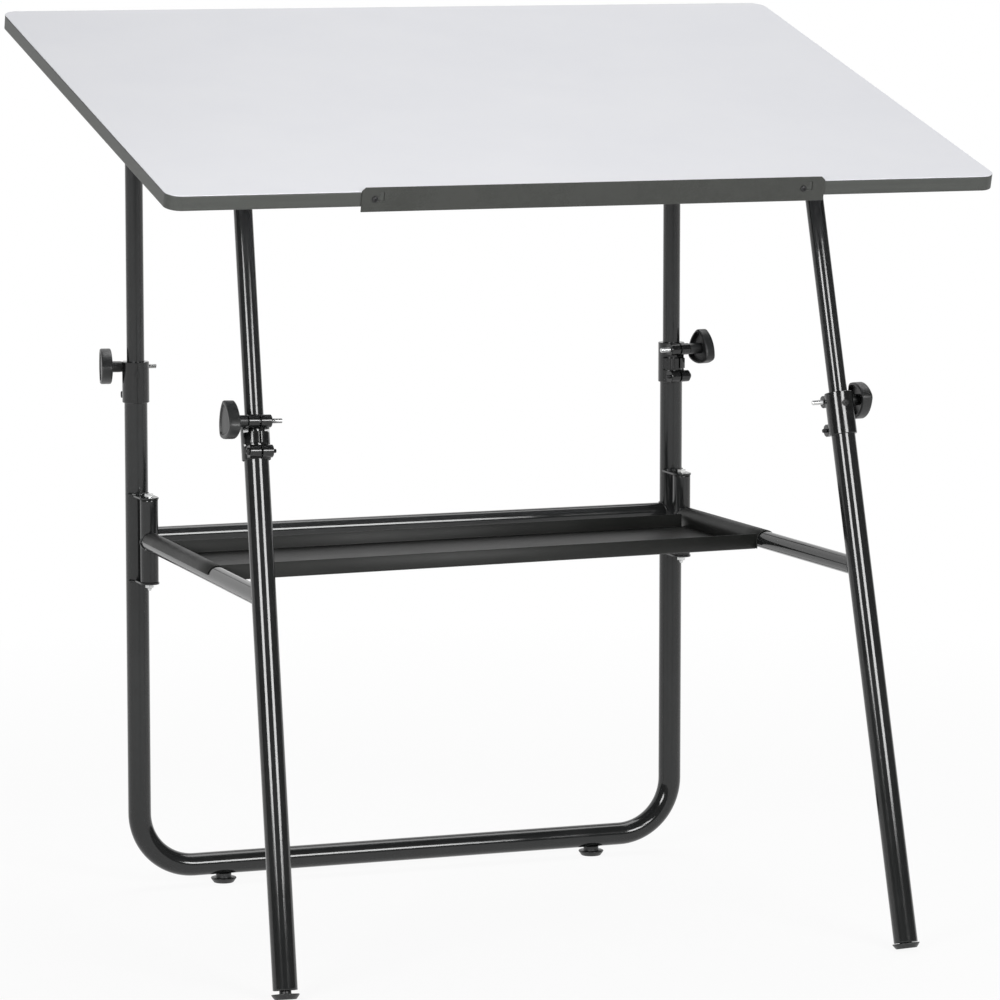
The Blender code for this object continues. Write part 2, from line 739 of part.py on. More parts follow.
def post_head():
    """A plug with a tongue; the pivot axis runs along X through its origin."""
    flange_top = -HEAD_FLANGE_DROP
    flange_low = flange_top - HEAD_FLANGE_THICK
    flange = turned([(BORE_R, flange_low - PLUG_LONG), (BORE_R, flange_low), (POST_R, flange_low),
                     (POST_R, flange_top)])
    half = TONGUE_WIDE / 2
    tongue = eye_lug(TONGUE_EYE_R, -half, half, flange_top - HEAD_FLANGE_THICK / 2)
    hole = moved(rod(PIN_R + CLEAR, -2 * half, 2 * half, SMALL_SIDES), ALONG_X)
    return cut(joined(flange, tongue), hole)


CHEEK_IN = TONGUE_WIDE / 2 + CLEAR
CHEEK_OUT = CHEEK_IN + BRACKET_SHEET


def top_bracket():
    """A folded bracket under the board: a base plate and two cheeks round the pivot."""
    seat = UNDERSIDE - CLEAR
    low = seat - BRACKET_SHEET
    base = block((-BRACKET_WIDE / 2, -BRACKET_LONG / 2, low), (BRACKET_WIDE / 2, BRACKET_LONG / 2, seat))
    cheeks = [
        eye_lug(BRACKET_EYE_R, s * CHEEK_IN, s * CHEEK_OUT, seat - BRACKET_SHEET / 2) for s in (-1, 1)
    ]
    hole = moved(rod(PIN_R + CLEAR, -2 * CHEEK_OUT, 2 * CHEEK_OUT, SMALL_SIDES), ALONG_X)
    return cut(joined(base, *cheeks), hole)


def pivot_pin():
    """A rivet along X through the cheeks and the tongue."""
    seat = CHEEK_OUT + CLEAR
    end = seat + PIN_HEAD_LONG
    pin = turned([(PIN_HEAD_R, -end), (PIN_HEAD_R, -seat), (PIN_R, -seat), (PIN_R, seat),
                  (PIN_HEAD_R, seat), (PIN_HEAD_R, end)], SMALL_SIDES)
    return moved(pin, ALONG_X)


for name, side in SIDES:
    post = straight_tube(REAR_TUBE_TOP - POST_INSERT, REAR_POST_TOP, POST_R, POST_R - POST_WALL)
    piece(f"rear_post_{name}", post, GLOSS_BLACK, uprights[side])
    piece(f"post_head_{name}", post_head(), BLACK_PLASTIC, uprights[side], shift(0, 0, PIVOT_HEIGHT))
    over = shift(side * UPRIGHT_X, 0, 0)
    piece(f"top_bracket_{name}", top_bracket(), SATIN_BLACK, top_frame, over)
    piece(f"pivot_pin_{name}", pivot_pin(), ZINC, top_frame, over)


# Front posts: slanted caps that bear on flat rests under the board

def rest_plane(side):
    """A point and the normal of the rest's face, in the leg's own frame."""
    bpy.context.view_layer.update()
    to_leg = legs[side].matrix_world.inverted() @ top_frame.matrix_world
    point = to_leg @ Vector((side * UPRIGHT_X, 0, UNDERSIDE - CLEAR - REST_THICK))
    normal = (to_leg.to_3x3() @ Vector((0, 0, 1))).normalized()
    return point, normal


def front_post_end(side):
    """Height up the leg's axis where it meets the rest's face."""
    point, normal = rest_plane(side)
    return point.dot(normal) / normal.z


def post_cap(side):
    """A plug whose rim is cut off parallel to the board."""
    point, normal = rest_plane(side)
    end = front_post_end(side)
    bottom = cap_seat(side)
    bm = bmesh.new()
    bm.from_mesh(
        turned([(BORE_R, bottom - PLUG_LONG), (BORE_R, bottom), (CAP_R, bottom), (CAP_R, end + 2 * CAP_R)])
    )
    cutting = bm.verts[:] + bm.edges[:] + bm.faces[:]
    sliced = bmesh.ops.bisect_plane(
        bm, geom=cutting, plane_co=point - normal * CLEAR, plane_no=normal, clear_outer=True
    )
    rim = [part for part in sliced["geom_cut"] if isinstance(part, bmesh.types.BMEdge)]
    bmesh.ops.contextual_create(bm, geom=rim)
    return finished(bm)


def cap_seat(side):
    """The post's square end: low enough for the slanted rim to keep its least height."""
    _, normal = rest_plane(side)
    slant = math.hypot(normal.x, normal.y) / normal.z
    return front_post_end(side) - CAP_R * slant - CAP_RIM


for name, side in SIDES:
    post = straight_tube(LEG_TOP - POST_INSERT, cap_seat(side) - CLEAR, POST_R, POST_R - POST_WALL)
    piece(f"front_post_{name}", post, GLOSS_BLACK, legs[side])
    piece(f"post_cap_{name}", post_cap(side), BLACK_PLASTIC, legs[side])
    touch = top_frame.matrix_world.inverted() @ legs[side].matrix_world @ Vector((0, 0, front_post_end(side)))
    rest = block(
        (touch.x - REST_WIDE / 2, touch.y - REST_FORWARD, UNDERSIDE - CLEAR - REST_THICK),
        (touch.x + REST_WIDE / 2, touch.y + REST_BACK, UNDERSIDE - CLEAR),
    )
    piece(f"front_rest_{name}", rest, BLACK_PLASTIC, top_frame)


# Tray of folded sheet, hooked over both arms

TRAY_FLOOR = ARM_HEIGHT - TRAY_FLOOR_DROP
HOOK_FRONT = {-1: HOOK_FRONT_LEFT, 1: HOOK_FRONT_RIGHT}
PAN_FRONT = {-1: PAN_FRONT_LEFT, 1: PAN_FRONT_RIGHT}
PAN_BACK = {-1: PAN_BACK_LEFT, 1: PAN_BACK_RIGHT}


def flank_x(ahead):
    """The inner face of a hook's flank: half the tray's clear width at a distance ahead of the hinges."""
    return HINGE_X + ahead * math.tan(ARM_SPLAY) - ARM_R - CLEAR - TRAY_SHEET


def hook_section(side, ahead):
    """A hook's closed outline: from its lip over the arm and down to the floor."""
    arm_x = HINGE_X + ahead * math.tan(ARM_SPLAY)
    outline = []
    for radius in (ARM_R + CLEAR + TRAY_SHEET, ARM_R + CLEAR):
        face = []
        for i in range(LIP_STEPS + 1):
            turn = LIP_ANGLE + (math.pi - LIP_ANGLE) * i / LIP_STEPS
            face.append((arm_x + radius * math.cos(turn), ARM_HEIGHT + radius * math.sin(turn)))
        face.append((arm_x - radius, TRAY_FLOOR - TRAY_SHEET / 4))
        outline += face if not outline else reversed(face)
    return [(side * x, -HINGE_FORWARD - ahead, z) for x, z in outline]


def across_pan(places, inset, reach):
    """Both ends of a line across the pan: in from its edge by inset, past the flanks' faces by reach."""
    ends = []
    for side in (-1, 1):
        ahead = places[side] + inset
        ends.append((side * (flank_x(ahead) + reach), -HINGE_FORWARD - ahead))
    return ends


def tray():
    hooks = [loft([hook_section(s, HOOK_BACK), hook_section(s, HOOK_FRONT[s])]) for s in (-1, 1)]
    into = TRAY_SHEET / 2
    back, front = across_pan(PAN_BACK, 0, into), across_pan(PAN_FRONT, 0, into)
    pieces = [prism([front[0], front[1], back[1], back[0]], TRAY_FLOOR, TRAY_FLOOR + TRAY_SHEET)]
    # The front wall runs into the flanks; the rear wall leaves a slit at each corner.
    # Both stand a hair in from the floor's edges.
    hair = TRAY_SHEET / 4
    for places, near, far, high, reach in (
        (PAN_FRONT, -hair, -hair - TRAY_SHEET, TRAY_WALL, into),
        (PAN_BACK, hair + TRAY_SHEET, hair, TRAY_BACK_WALL, -TRAY_CORNER_SLIT),
    ):
        one, other = across_pan(places, near, reach), across_pan(places, far, reach)
        pieces.append(prism([one[0], one[1], other[1], other[0]], TRAY_FLOOR + into, TRAY_FLOOR + high))
    return joined(hooks[0], *pieces, hooks[1])


piece("tray", tray(), SATIN_BLACK, table)


# Stand the table on its footprint's middle

bpy.context.view_layer.update()
depths = [
    (made.matrix_world @ Vector(corner)).y
    for made in bpy.context.scene.objects
    if made.type == "MESH"
    for corner in made.bound_box
]
table.location.y = -(min(depths) + max(depths)) / 2
bpy.context.view_layer.update()
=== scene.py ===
"""Dresses the folding craft table: finishes, fine edges, welds and threads over its frame."""
import json
import math

import bmesh
import bpy
from mathutils import Matrix, Vector


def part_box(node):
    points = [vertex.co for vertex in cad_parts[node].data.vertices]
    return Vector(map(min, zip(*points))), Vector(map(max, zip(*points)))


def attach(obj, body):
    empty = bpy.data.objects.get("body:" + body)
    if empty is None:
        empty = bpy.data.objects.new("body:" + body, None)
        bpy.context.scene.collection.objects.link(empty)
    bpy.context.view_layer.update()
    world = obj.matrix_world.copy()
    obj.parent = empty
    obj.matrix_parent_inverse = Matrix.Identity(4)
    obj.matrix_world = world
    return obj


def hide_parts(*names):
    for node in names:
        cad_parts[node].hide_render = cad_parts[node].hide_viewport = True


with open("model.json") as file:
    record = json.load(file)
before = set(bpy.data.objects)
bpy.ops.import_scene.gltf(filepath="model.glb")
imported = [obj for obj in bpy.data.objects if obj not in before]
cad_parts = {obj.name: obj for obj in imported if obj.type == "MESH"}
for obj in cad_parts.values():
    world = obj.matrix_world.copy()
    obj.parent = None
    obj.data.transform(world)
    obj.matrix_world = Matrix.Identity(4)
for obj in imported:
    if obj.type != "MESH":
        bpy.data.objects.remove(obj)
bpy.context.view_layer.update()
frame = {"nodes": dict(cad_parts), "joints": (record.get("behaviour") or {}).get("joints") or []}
joints = {joint["name"]: joint for joint in frame["joints"]}
scene = bpy.context.scene

SIDES = (("left", -1), ("right", 1))


# Places taken from the frame, and sizes in metres

def corner(node, end, axis):
    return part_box(node)[end][axis]


UPRIGHT_Y = (corner("rear_post_left", 0, 1) + corner("rear_post_left", 1, 1)) / 2
UPRIGHT_X = (corner("rear_post_right", 0, 0) + corner("rear_post_right", 1, 0)) / 2
TUBE_TOP = corner("rear_frame", 1, 2)
BAR_LOW = corner("rear_frame", 0, 2)
GAP = 0.0003                # between pieces that touch or slide
TIGHT = 0.0001              # between pieces that are screwed or stuck together
SINK = 0.0004               # how far a coped tube end reaches into the tube it meets
TUBE_R = 0.015
TUBE_WALL = 0.0015
POST_R = 0.0115
BEND_R = 0.074

BOARD_TILT = math.radians(14.62)
BOARD_FRONT, BOARD_BACK = -0.6853, 0.0767
BOARD_HALF = 0.5335
BOARD_LOW, BOARD_HIGH = 0.022, 0.041
BOARD_CORNER = 0.019
BAND_THICK = 0.002
LAMINATE_LIP = 0.001        # laminate's edge over the strip

ARM_HEIGHT = 0.4669
ARM_R = 0.0117
ARM_LONG = 0.5406
ARM_SPLAY = math.radians(1.854)
SLEEVE_R = 0.0118
SLEEVE_BORE = 0.0035
SLEEVE_LOW, SLEEVE_HIGH = 0.4141, 0.5222

LEG_START = 0.0109          # tube end above the foot's base, along the leg
LEG_LONG = 0.66258
RIGHT_LEG_LOWER = 0.0037    # the right foot is screwed in further
POST_INSERT = 0.200         # front post inside its leg
FRONT_POST_HIGH = 1.01282   # front post's end, along the leg

COLLAR_HIGH = 0.0535
COLLAR_STEP = 0.0265
COLLAR_R = 0.0176
BARREL_R = 0.0078
BARREL_HALF = 0.0148
BARREL_OUT = 0.0185
BARREL_LOW, BARREL_UP = 0.0085, 0.045

board_frame = Matrix.Translation(joints["top_flip"]["pos_m"]) @ Matrix.Rotation(BOARD_TILT, 4, "X")
hinge = {side: Vector(joints[f"{name}_leg_fold"]["pos_m"]) for name, side in SIDES}


def leg_frame(name):
    """Z up the leg, X across, origin where its axis meets the floor; and how far up the foot starts."""
    foot = Vector(joints[f"front_foot_{name}_turn"]["pos_m"])
    up = Vector(joints[f"front_foot_{name}_turn"]["axis"]).normalized()
    across = (Vector((1, 0, 0)) - up * up.x).normalized()
    turn = Matrix((across, up.cross(across), up)).transposed().to_4x4()
    return Matrix.Translation(foot - up * (foot.z / up.z)) @ turn, (foot.z / up.z)


legs = {side: leg_frame(name)[0] for name, side in SIDES}
FOOT_LIFT = leg_frame("left")[1]
LEG_LOW = FOOT_LIFT + LEG_START
LEG_TOP = LEG_LOW + LEG_LONG
uprights = {side: Matrix.Translation((side * UPRIGHT_X, UPRIGHT_Y, 0)) for _, side in SIDES}


# Camera and lamps

SENSOR_WIDTH, CAMERA_LENS, CAMERA_REACH = 36, 182.171, 300
CAMERA_X, CAMERA_FROM_UPRIGHTS, CAMERA_Z = -2.22901, -6.30935, 1.35590
CAMERA_YAW, CAMERA_PITCH = math.radians(20.497), math.radians(7.297)
TABLE_MIDDLE = (0, 0, 0.6)


def place_camera():
    data = bpy.data.cameras.new("camera")
    data.sensor_width, data.lens, data.clip_end = SENSOR_WIDTH, CAMERA_LENS, CAMERA_REACH
    camera = bpy.data.objects.new("camera", data)
    scene.collection.objects.link(camera)
    level, drop = math.cos(CAMERA_PITCH), math.sin(CAMERA_PITCH)
    ahead = Vector((math.sin(CAMERA_YAW) * level, math.cos(CAMERA_YAW) * level, -drop))
    right = Vector((math.cos(CAMERA_YAW), -math.sin(CAMERA_YAW), 0))
    turn = Matrix((right, right.cross(ahead), -ahead)).transposed().to_4x4()
    camera.matrix_world = Matrix.Translation((CAMERA_X, UPRIGHT_Y + CAMERA_FROM_UPRIGHTS, CAMERA_Z)) @ turn
    scene.camera = camera


def lamp(name, place, aim, size, power):
    data = bpy.data.lights.new(name, "AREA")
    data.shape = "RECTANGLE"
    data.size, data.size_y = size
    data.energy = power
    made = bpy.data.objects.new(name, data)
    scene.collection.objects.link(made)
    made.location = place
    made.rotation_euler = (Vector(aim) - Vector(place)).to_track_quat("-Z", "Y").to_euler()


place_camera()
lamp("left_softbox", (-2.97, -2.68, 1.65), TABLE_MIDDLE, (1.35, 1.1), 84)
lamp("right_softbox", (0.97, -3.88, 1.80), TABLE_MIDDLE, (1.5, 1.1), 93)
lamp("overhead", (0.9, 1.2, 4.0), (0.1, 0.1, 1.0), (2.4, 2.4), 66)


# Finishes

class Value:
    """A number that varies over a surface; arithmetic on it adds Math nodes."""

    def __init__(self, finish, socket):
        self.finish, self.socket = finish, socket

    def maths(self, operation, one, other):
        return self.finish.node("ShaderNodeMath", {"operation": operation}, {0: one, 1: other})

    def __add__(self, other):
        return self.maths("ADD", self, other)

    def __mul__(self, other):
        return self.maths("MULTIPLY", self, other)

    __radd__, __rmul__ = __add__, __mul__


class Finish:
    """A material under construction; the name of the record's slot it is meant for is kept but not used."""

    def __init__(self, name, slot=None, **sockets):
        self.material = bpy.data.materials.new(name)
        self.material.use_nodes = True
        self.tree = self.material.node_tree
        self.shader = self.tree.nodes["Principled BSDF"]
        self.slot = slot
        self.feed(**sockets)

    def node(self, kind, settings, sockets, output=0):
        made = self.tree.nodes.new(kind)
        for key, value in settings.items():
            setattr(made, key, value)
        for key, value in sockets.items():
            self.link(value, made.inputs[key])
        return Value(self, made.outputs[output])

    def link(self, value, socket):
        if isinstance(value, Value):
            self.tree.links.new(value.socket, socket)
        else:
            socket.default_value = value

    def feed(self, **sockets):
        for key, value in sockets.items():
            self.link(value, self.shader.inputs[key.replace("_", " ")])

    def place(self):
        return self.node("ShaderNodeTexCoord", {}, {}, 3)

    def noise(self, scale, detail=3.0, roughness=0.55, stretch=None):
        where = self.place()
        if stretch:
            where = self.node("ShaderNodeVectorMath", {"operation": "MULTIPLY"}, {0: where, 1: stretch})
        sockets = {"Vector": where, "Scale": scale, "Detail": detail, "Roughness": roughness}
        return self.node("ShaderNodeTexNoise", {}, sockets)

    def blend(self, share, one, other):
        """A colour between two others."""
        return self.node(
            "ShaderNodeMix", {"data_type": "RGBA"}, {0: share, 6: (*one, 1), 7: (*other, 1)}, 2
        )

    def narrow(self, value, low, high):
        """A value stretched so that low becomes 0 and high becomes 1."""
        return self.node("ShaderNodeMapRange", {}, {0: value, 1: low, 2: high})

    def bump(self, height, strength, distance):
        normal = self.node(
            "ShaderNodeBump", {}, {"Height": height, "Strength": strength, "Distance": distance}
        )
        self.feed(Normal=normal)


def laminate_finish():
    """Pale laminate with a faint cool mottle and a fine pebbled press texture."""
    made = Finish("laminate_press", "laminate")
    cloud = made.narrow(made.noise(7, 5), 0.3, 0.7)
    pebble = made.noise(900, 2)
    made.feed(
        Base_Color=made.blend(cloud, (0.742, 0.748, 0.782), (0.718, 0.725, 0.764)),
        Roughness=0.40 + 0.12 * pebble,
    )
    made.bump(pebble, 0.22, 0.0002)
    return made


def edging_finish():
    """Dark grey plastic strip, lightly streaked along its length."""
    made = Finish("edging_strip", "edging", Specular_IOR_Level=0.35)
    grain = made.noise(700, 3)
    streak = made.noise(40, 3, 0.6, (0.15, 0.15, 6))
    made.feed(
        Base_Color=made.blend(streak, (0.050, 0.053, 0.049), (0.072, 0.076, 0.070)),
        Roughness=0.36 + 0.16 * grain,
    )
    made.bump(grain, 0.18, 0.0002)
    return made


def enamel_finish():
    """Gloss black enamel on tube, with a trace of orange peel and haze."""
    made = Finish("tube_enamel", "gloss_black", Specular_IOR_Level=0.45)
    peel = made.noise(160, 2, 0.4)
    haze = made.narrow(made.noise(18, 4), 0.35, 0.75)
    made.feed(
        Base_Color=made.blend(haze, (0.0135, 0.0142, 0.0142), (0.0185, 0.0194, 0.0194)),
        Roughness=0.09 + 0.05 * haze,
    )
    made.bump(peel, 0.03, 0.0003)
    return made


def powder_coat(name, dark, light, dull):
    """Powder coat on sheet metal: fine grit and faint clouds over its dullness."""
    made = Finish(name, "satin_black", Specular_IOR_Level=0.3)
    grit = made.noise(1600, 2, 0.6)
    haze = made.narrow(made.noise(14, 4), 0.3, 0.7)
    made.feed(
        Base_Color=made.blend(haze, dark, light),
        Roughness=dull + 0.10 * grit + 0.06 * haze,
    )
    made.bump(grit, 0.12, 0.0002)
    return made


def steel_finish():
    """Black plated screws and bolts."""
    made = Finish("black_plated_steel", "satin_black", Metallic=0.6)
    grain = made.noise(1200, 2)
    made.feed(
        Base_Color=made.blend(grain, (0.022, 0.022, 0.023), (0.045, 0.045, 0.046)),
        Roughness=0.32 + 0.2 * grain,
    )
    made.bump(grain, 0.15, 0.0001)
    return made


def plastic_finish():
    """Moulded black plastic with a fine spark texture."""
    made = Finish("moulded_plastic", "black_plastic")
    spark = made.noise(1100, 3, 0.65)
    cloud = made.narrow(made.noise(60, 3), 0.3, 0.7)
    made.feed(
        Base_Color=made.blend(cloud, (0.011, 0.0115, 0.0115), (0.017, 0.018, 0.018)),
        Roughness=0.32 + 0.12 * spark,
    )
    made.bump(spark, 0.15, 0.0002)
    return made


def gloss_plastic_finish():
    """Polished black plastic with slight flow waves."""
    made = Finish("gloss_moulding", "black_plastic", Specular_IOR_Level=0.5)
    wave = made.narrow(made.noise(90, 3), 0.3, 0.7)
    made.feed(
        Base_Color=made.blend(wave, (0.0075, 0.0078, 0.0078), (0.011, 0.0115, 0.0115)),
        Roughness=0.12 + 0.08 * wave,
    )
    made.bump(wave, 0.05, 0.0003)
    return made


def zinc_finish():
    """Bright zinc plate, a little cloudy."""
    made = Finish("zinc_plate", "zinc", Metallic=1.0)
    cloud = made.narrow(made.noise(320, 3), 0.3, 0.7)
    made.feed(
        Base_Color=made.blend(cloud, (0.78, 0.78, 0.76), (0.58, 0.59, 0.60)),
        Roughness=0.22 + 0.16 * cloud,
    )
    made.bump(cloud, 0.12, 0.0001)
    return made


LAMINATE, EDGING, ENAMEL = laminate_finish(), edging_finish(), enamel_finish()
SHEET = powder_coat("tray_powder_coat", (0.010, 0.0105, 0.0096), (0.014, 0.0148, 0.0135), 0.40)
LEDGE = powder_coat("ledge_powder_coat", (0.040, 0.042, 0.038), (0.048, 0.050, 0.046), 0.20)
STEEL, PLASTIC, GLOSS_PLASTIC, ZINC = steel_finish(), plastic_finish(), gloss_plastic_finish(), zinc_finish()


# Mesh tools

PIPE_EASE = 0.0005                  # largest rounding of a tube's end
BEAD_LUMP, BEAD_BEAT = 0.16, 2.4    # a weld's lumps: share of its size, and turn from point to point


def shaded(bm, angle=40):
    bmesh.ops.recalc_face_normals(bm, faces=bm.faces)
    mesh = bpy.data.meshes.new("shape")
    bm.to_mesh(mesh)
    bm.free()
    return smoothed(mesh, angle)


def smoothed(mesh, angle=40):
    mesh.shade_smooth()
    mesh.set_sharp_from_angle(angle=math.radians(angle))
    return mesh


def skin(loops, ends="capped", angle=40):
    """Faces through closed loops of points; the ends are capped or joined to each other."""
    bm = bmesh.new()
    rings = [[bm.verts.new(p) for p in loop] for loop in loops]
    pairs = list(zip(rings, rings[1:]))
    if ends == "joined":
        pairs.append((rings[-1], rings[0]))
    for one, other in pairs:
        for i in range(len(one)):
            j = (i + 1) % len(one)
            bm.faces.new((one[i], one[j], other[j], other[i]))
    if ends == "capped":
        bm.faces.new(rings[0])
        bm.faces.new(rings[-1])
    return shaded(bm, angle)


def circle(radius, sides):
    turn = 2 * math.pi / sides
    return [(radius * math.cos(i * turn), radius * math.sin(i * turn)) for i in range(sides)]


def turned(profile, sides=48):
    """A solid of revolution about Z through (radius, height) pairs."""
    return skin([[(x, y, z) for x, y in circle(r, sides)] for r, z in profile])


def rod(radius, low, high, sides=48):
    return turned([(radius, low), (radius, high)], sides)


def block(low, high):
    outline = [(low[0], low[1]), (high[0], low[1]), (high[0], high[1]), (low[0], high[1])]
    return skin([[(x, y, z) for x, y in outline] for z in (low[2], high[2])])


def pipe(path, side, outer, inner, sides=48):
    """A hollow tube along a flat path, with its ends a little rounded."""
    loops = []
    ease = min((outer - inner) * 0.35, PIPE_EASE)
    stations = []
    for i, point in enumerate(path):
        before, after = path[max(i - 1, 0)], path[min(i + 1, len(path) - 1)]
        stations.append((point, (after - before).normalized()))
    start, finish = stations[0], stations[-1]
    rows = [(inner + ease, start[0], start[1]), (outer - ease, start[0], start[1])]
    rows += [(outer, start[0] + start[1] * ease * step, start[1]) for step in (1, 4)]
    rows += [(outer, point, along) for point, along in stations[1:-1]]
    rows += [(outer, finish[0] - finish[1] * ease * step, finish[1]) for step in (4, 1)]
    rows += [(outer - ease, finish[0], finish[1]), (inner + ease, finish[0], finish[1])]
    rows += [(inner, finish[0] - finish[1] * ease * step, finish[1]) for step in (1, 4)]
    rows += [(inner, point, along) for point, along in reversed(stations[1:-1])]
    rows += [(inner, start[0] + start[1] * ease * step, start[1]) for step in (4, 1)]
    for radius, point, along in rows:
        across = side.cross(along).normalized()
        loops.append([point + side * y + across * x for x, y in circle(radius, sides)])
    return skin(loops, "joined", 50)


def straight_pipe(low, high, outer, inner, sides=48):
    return pipe([Vector((0, 0, low)), Vector((0, 0, high))], Vector((1, 0, 0)), outer, inner, sides)


def moved(mesh, matrix):
    mesh.transform(matrix)
    return mesh


def shift(x, y, z):
    return Matrix.Translation((x, y, z))


ALONG_X = Matrix.Rotation(math.radians(90), 4, "Y")


def combined(mesh, tools, operation):
    """A mesh joined with, or cut by, each of the tool meshes."""
    work = bpy.data.objects.new("work", mesh)
    scene.collection.objects.link(work)
    cutters = []
    for tool in tools:
        cutter = bpy.data.objects.new("cutter", tool)
        scene.collection.objects.link(cutter)
        step = work.modifiers.new("step", "BOOLEAN")
        step.operation, step.solver, step.object = operation, "EXACT", cutter
        cutters.append(cutter)
    graph = bpy.context.evaluated_depsgraph_get()
    result = bpy.data.meshes.new_from_object(work.evaluated_get(graph))
    for used in (work, *cutters):
        bpy.data.objects.remove(used, do_unlink=True)
    return smoothed(result)


def piece(name, mesh, finish, body, stands_for=(), place=None, soft_edge=0.0):
    """A dressed piece that rides on a body, in the place of the CAD nodes it stands for."""
    if place is not None:
        mesh = moved(mesh.copy(), place)
    made = bpy.data.objects.new(name, mesh)
    scene.collection.objects.link(made)
    mesh.materials.clear()
    mesh.materials.append(finish.material)
    if soft_edge:
        bevel = made.modifiers.new("soft_edge", "BEVEL")
        bevel.width, bevel.segments = soft_edge, 2
        bevel.limit_method, bevel.angle_limit = "ANGLE", math.radians(42)
    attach(made, body)
    if stands_for:
        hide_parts(*stands_for)
    return made


def bead_along(name, body, centres, outs, size, closed):
    """A lumpy painted weld along a line of points; outs point away from the joint."""
    count = len(centres)
    loops = []
    for i, (centre, out) in enumerate(zip(centres, outs)):
        last = centres[i - 1] if closed or i else centre
        after = centres[(i + 1) % count] if closed or i + 1 < count else centre
        up = (after - last).normalized().cross(out).normalized()
        lump = size * (1 + BEAD_LUMP * math.sin(i * BEAD_BEAT))
        loops.append([centre + out * x + up * y for x, y in circle(lump, 10)])
    piece(name, skin(loops, "joined" if closed else "capped", 80), ENAMEL, body)


def weld_bead(name, body, start, along, radius, axis_point, axis, big_radius, bead=0.0018):
    """A painted weld round the end of a tube that meets a larger tube."""
    along, axis = along.normalized(), axis.normalized()
    side = along.orthogonal().normalized()
    other = along.cross(side)
    centres, outs = [], []
    for i in range(40):
        turn = 2 * math.pi * i / 40
        out = side * math.cos(turn) + other * math.sin(turn)
        point = start + out * radius
        flat = point - axis_point
        flat -= axis * flat.dot(axis)
        go = along - axis * along.dot(axis)
        a, b, c = go.dot(go), 2 * flat.dot(go), flat.dot(flat) - big_radius ** 2
        reach = (-b - math.sqrt(max(b * b - 4 * a * c, 0))) / (2 * a)
        centres.append(point + along * reach)
        outs.append(out)
    bead_along(name, body, centres, outs, bead, True)


# Board, edging, ledge and ledge screws

def board_outline(inset, steps=20):
    half = BOARD_HALF - inset
    front, back = BOARD_FRONT + inset, BOARD_BACK - inset
    radius = BOARD_CORNER - inset
    points = []
    for x, y, start in ((half, back, 0), (-half, back, 90), (-half, front, 180), (half, front, 270)):
        for i in range(steps + 1):
            turn = math.radians(start + 90 * i / steps)
            points.append(
                (
                    x - math.copysign(radius, x) + radius * math.cos(turn),
                    y - math.copysign(radius, y) + radius * math.sin(turn),
                )
            )
    return points


def board_panel():
    """The board, with its laminate reaching out over the strip."""
    ease, lip = 0.0003, BOARD_HIGH - LAMINATE_LIP
    rows = [
        (BAND_THICK + ease, BOARD_LOW), (BAND_THICK, BOARD_LOW + ease), (BAND_THICK, lip), (ease, lip),
        (TIGHT, lip + 2 * TIGHT), (TIGHT, BOARD_HIGH - ease), (ease, BOARD_HIGH),
    ]
    return skin([[(x, y, z) for x, y in board_outline(inset)] for inset, z in rows], "capped", 50)


def board_edging():
    """A strip under the laminate's edge, its lower lip rounded."""
    lip, ease, top = 0.0013, 0.0003, BOARD_HIGH - LAMINATE_LIP - TIGHT
    rows = []
    for i in range(6):
        turn = math.radians(90 - 18 * i)
        rows.append((lip - lip * math.cos(turn), BOARD_LOW + lip - lip * math.sin(turn)))
    rows += [(0, BOARD_LOW + 0.004), (0, top - 0.002), (0, top - ease), (ease, top)]
    rows += [(BAND_THICK + TIGHT, top), (BAND_THICK + TIGHT, BOARD_LOW)]
    return skin([[(x, y, z) for x, y in board_outline(inset)] for inset, z in rows], "joined", 50)


piece("board_panel", board_panel(), LAMINATE, "top", ["top_panel"], board_frame)
piece("board_edging", board_edging(), EDGING, "top", ["edge_band"], board_frame)

LEDGE_LEFT, LEDGE_RIGHT = -0.2958, 0.3002
LEDGE_BELOW, LEDGE_ABOVE = 0.0062, 0.0051       # past the board's faces
LEDGE_LOW, LEDGE_HIGH = BOARD_LOW - LEDGE_BELOW, BOARD_HIGH + LEDGE_ABOVE
LEDGE_CLIP = 0.0045
LEDGE_SHEET, LEDGE_SOFT = 0.0015, 0.0003
LEDGE_FACE = BOARD_FRONT - GAP - LEDGE_SHEET
SLOT_ACROSS, SLOT_UP, SLOT_HALF = 0.0095, 0.0083, 0.0025
SCREW_X = (-0.2794, 0.2722)
SCREW_Z = (BOARD_LOW + BOARD_HIGH) / 2


def ledge_strip():
    outline = [
        (LEDGE_LEFT, LEDGE_LOW), (LEDGE_RIGHT, LEDGE_LOW), (LEDGE_RIGHT, LEDGE_HIGH - LEDGE_CLIP),
        (LEDGE_RIGHT - LEDGE_CLIP, LEDGE_HIGH), (LEDGE_LEFT + LEDGE_CLIP, LEDGE_HIGH),
        (LEDGE_LEFT, LEDGE_HIGH - LEDGE_CLIP),
    ]
    strip = skin([[(x, y, z) for x, z in outline] for y in (LEDGE_FACE, BOARD_FRONT - GAP)])
    slots = []
    for x in SCREW_X:
        start, bend, end = x - SLOT_HALF, x + SLOT_ACROSS - SLOT_HALF, x + SLOT_ACROSS + SLOT_HALF
        shape = [(start, -SLOT_HALF), (end, -SLOT_HALF), (end, SLOT_UP), (bend, SLOT_UP),
                 (bend, SLOT_HALF), (start, SLOT_HALF)]
        slots.append(
            skin([[(px, y, SCREW_Z + pz) for px, pz in shape] for y in (LEDGE_FACE - 0.001, BOARD_FRONT)])
        )
    return combined(strip, slots, "DIFFERENCE")


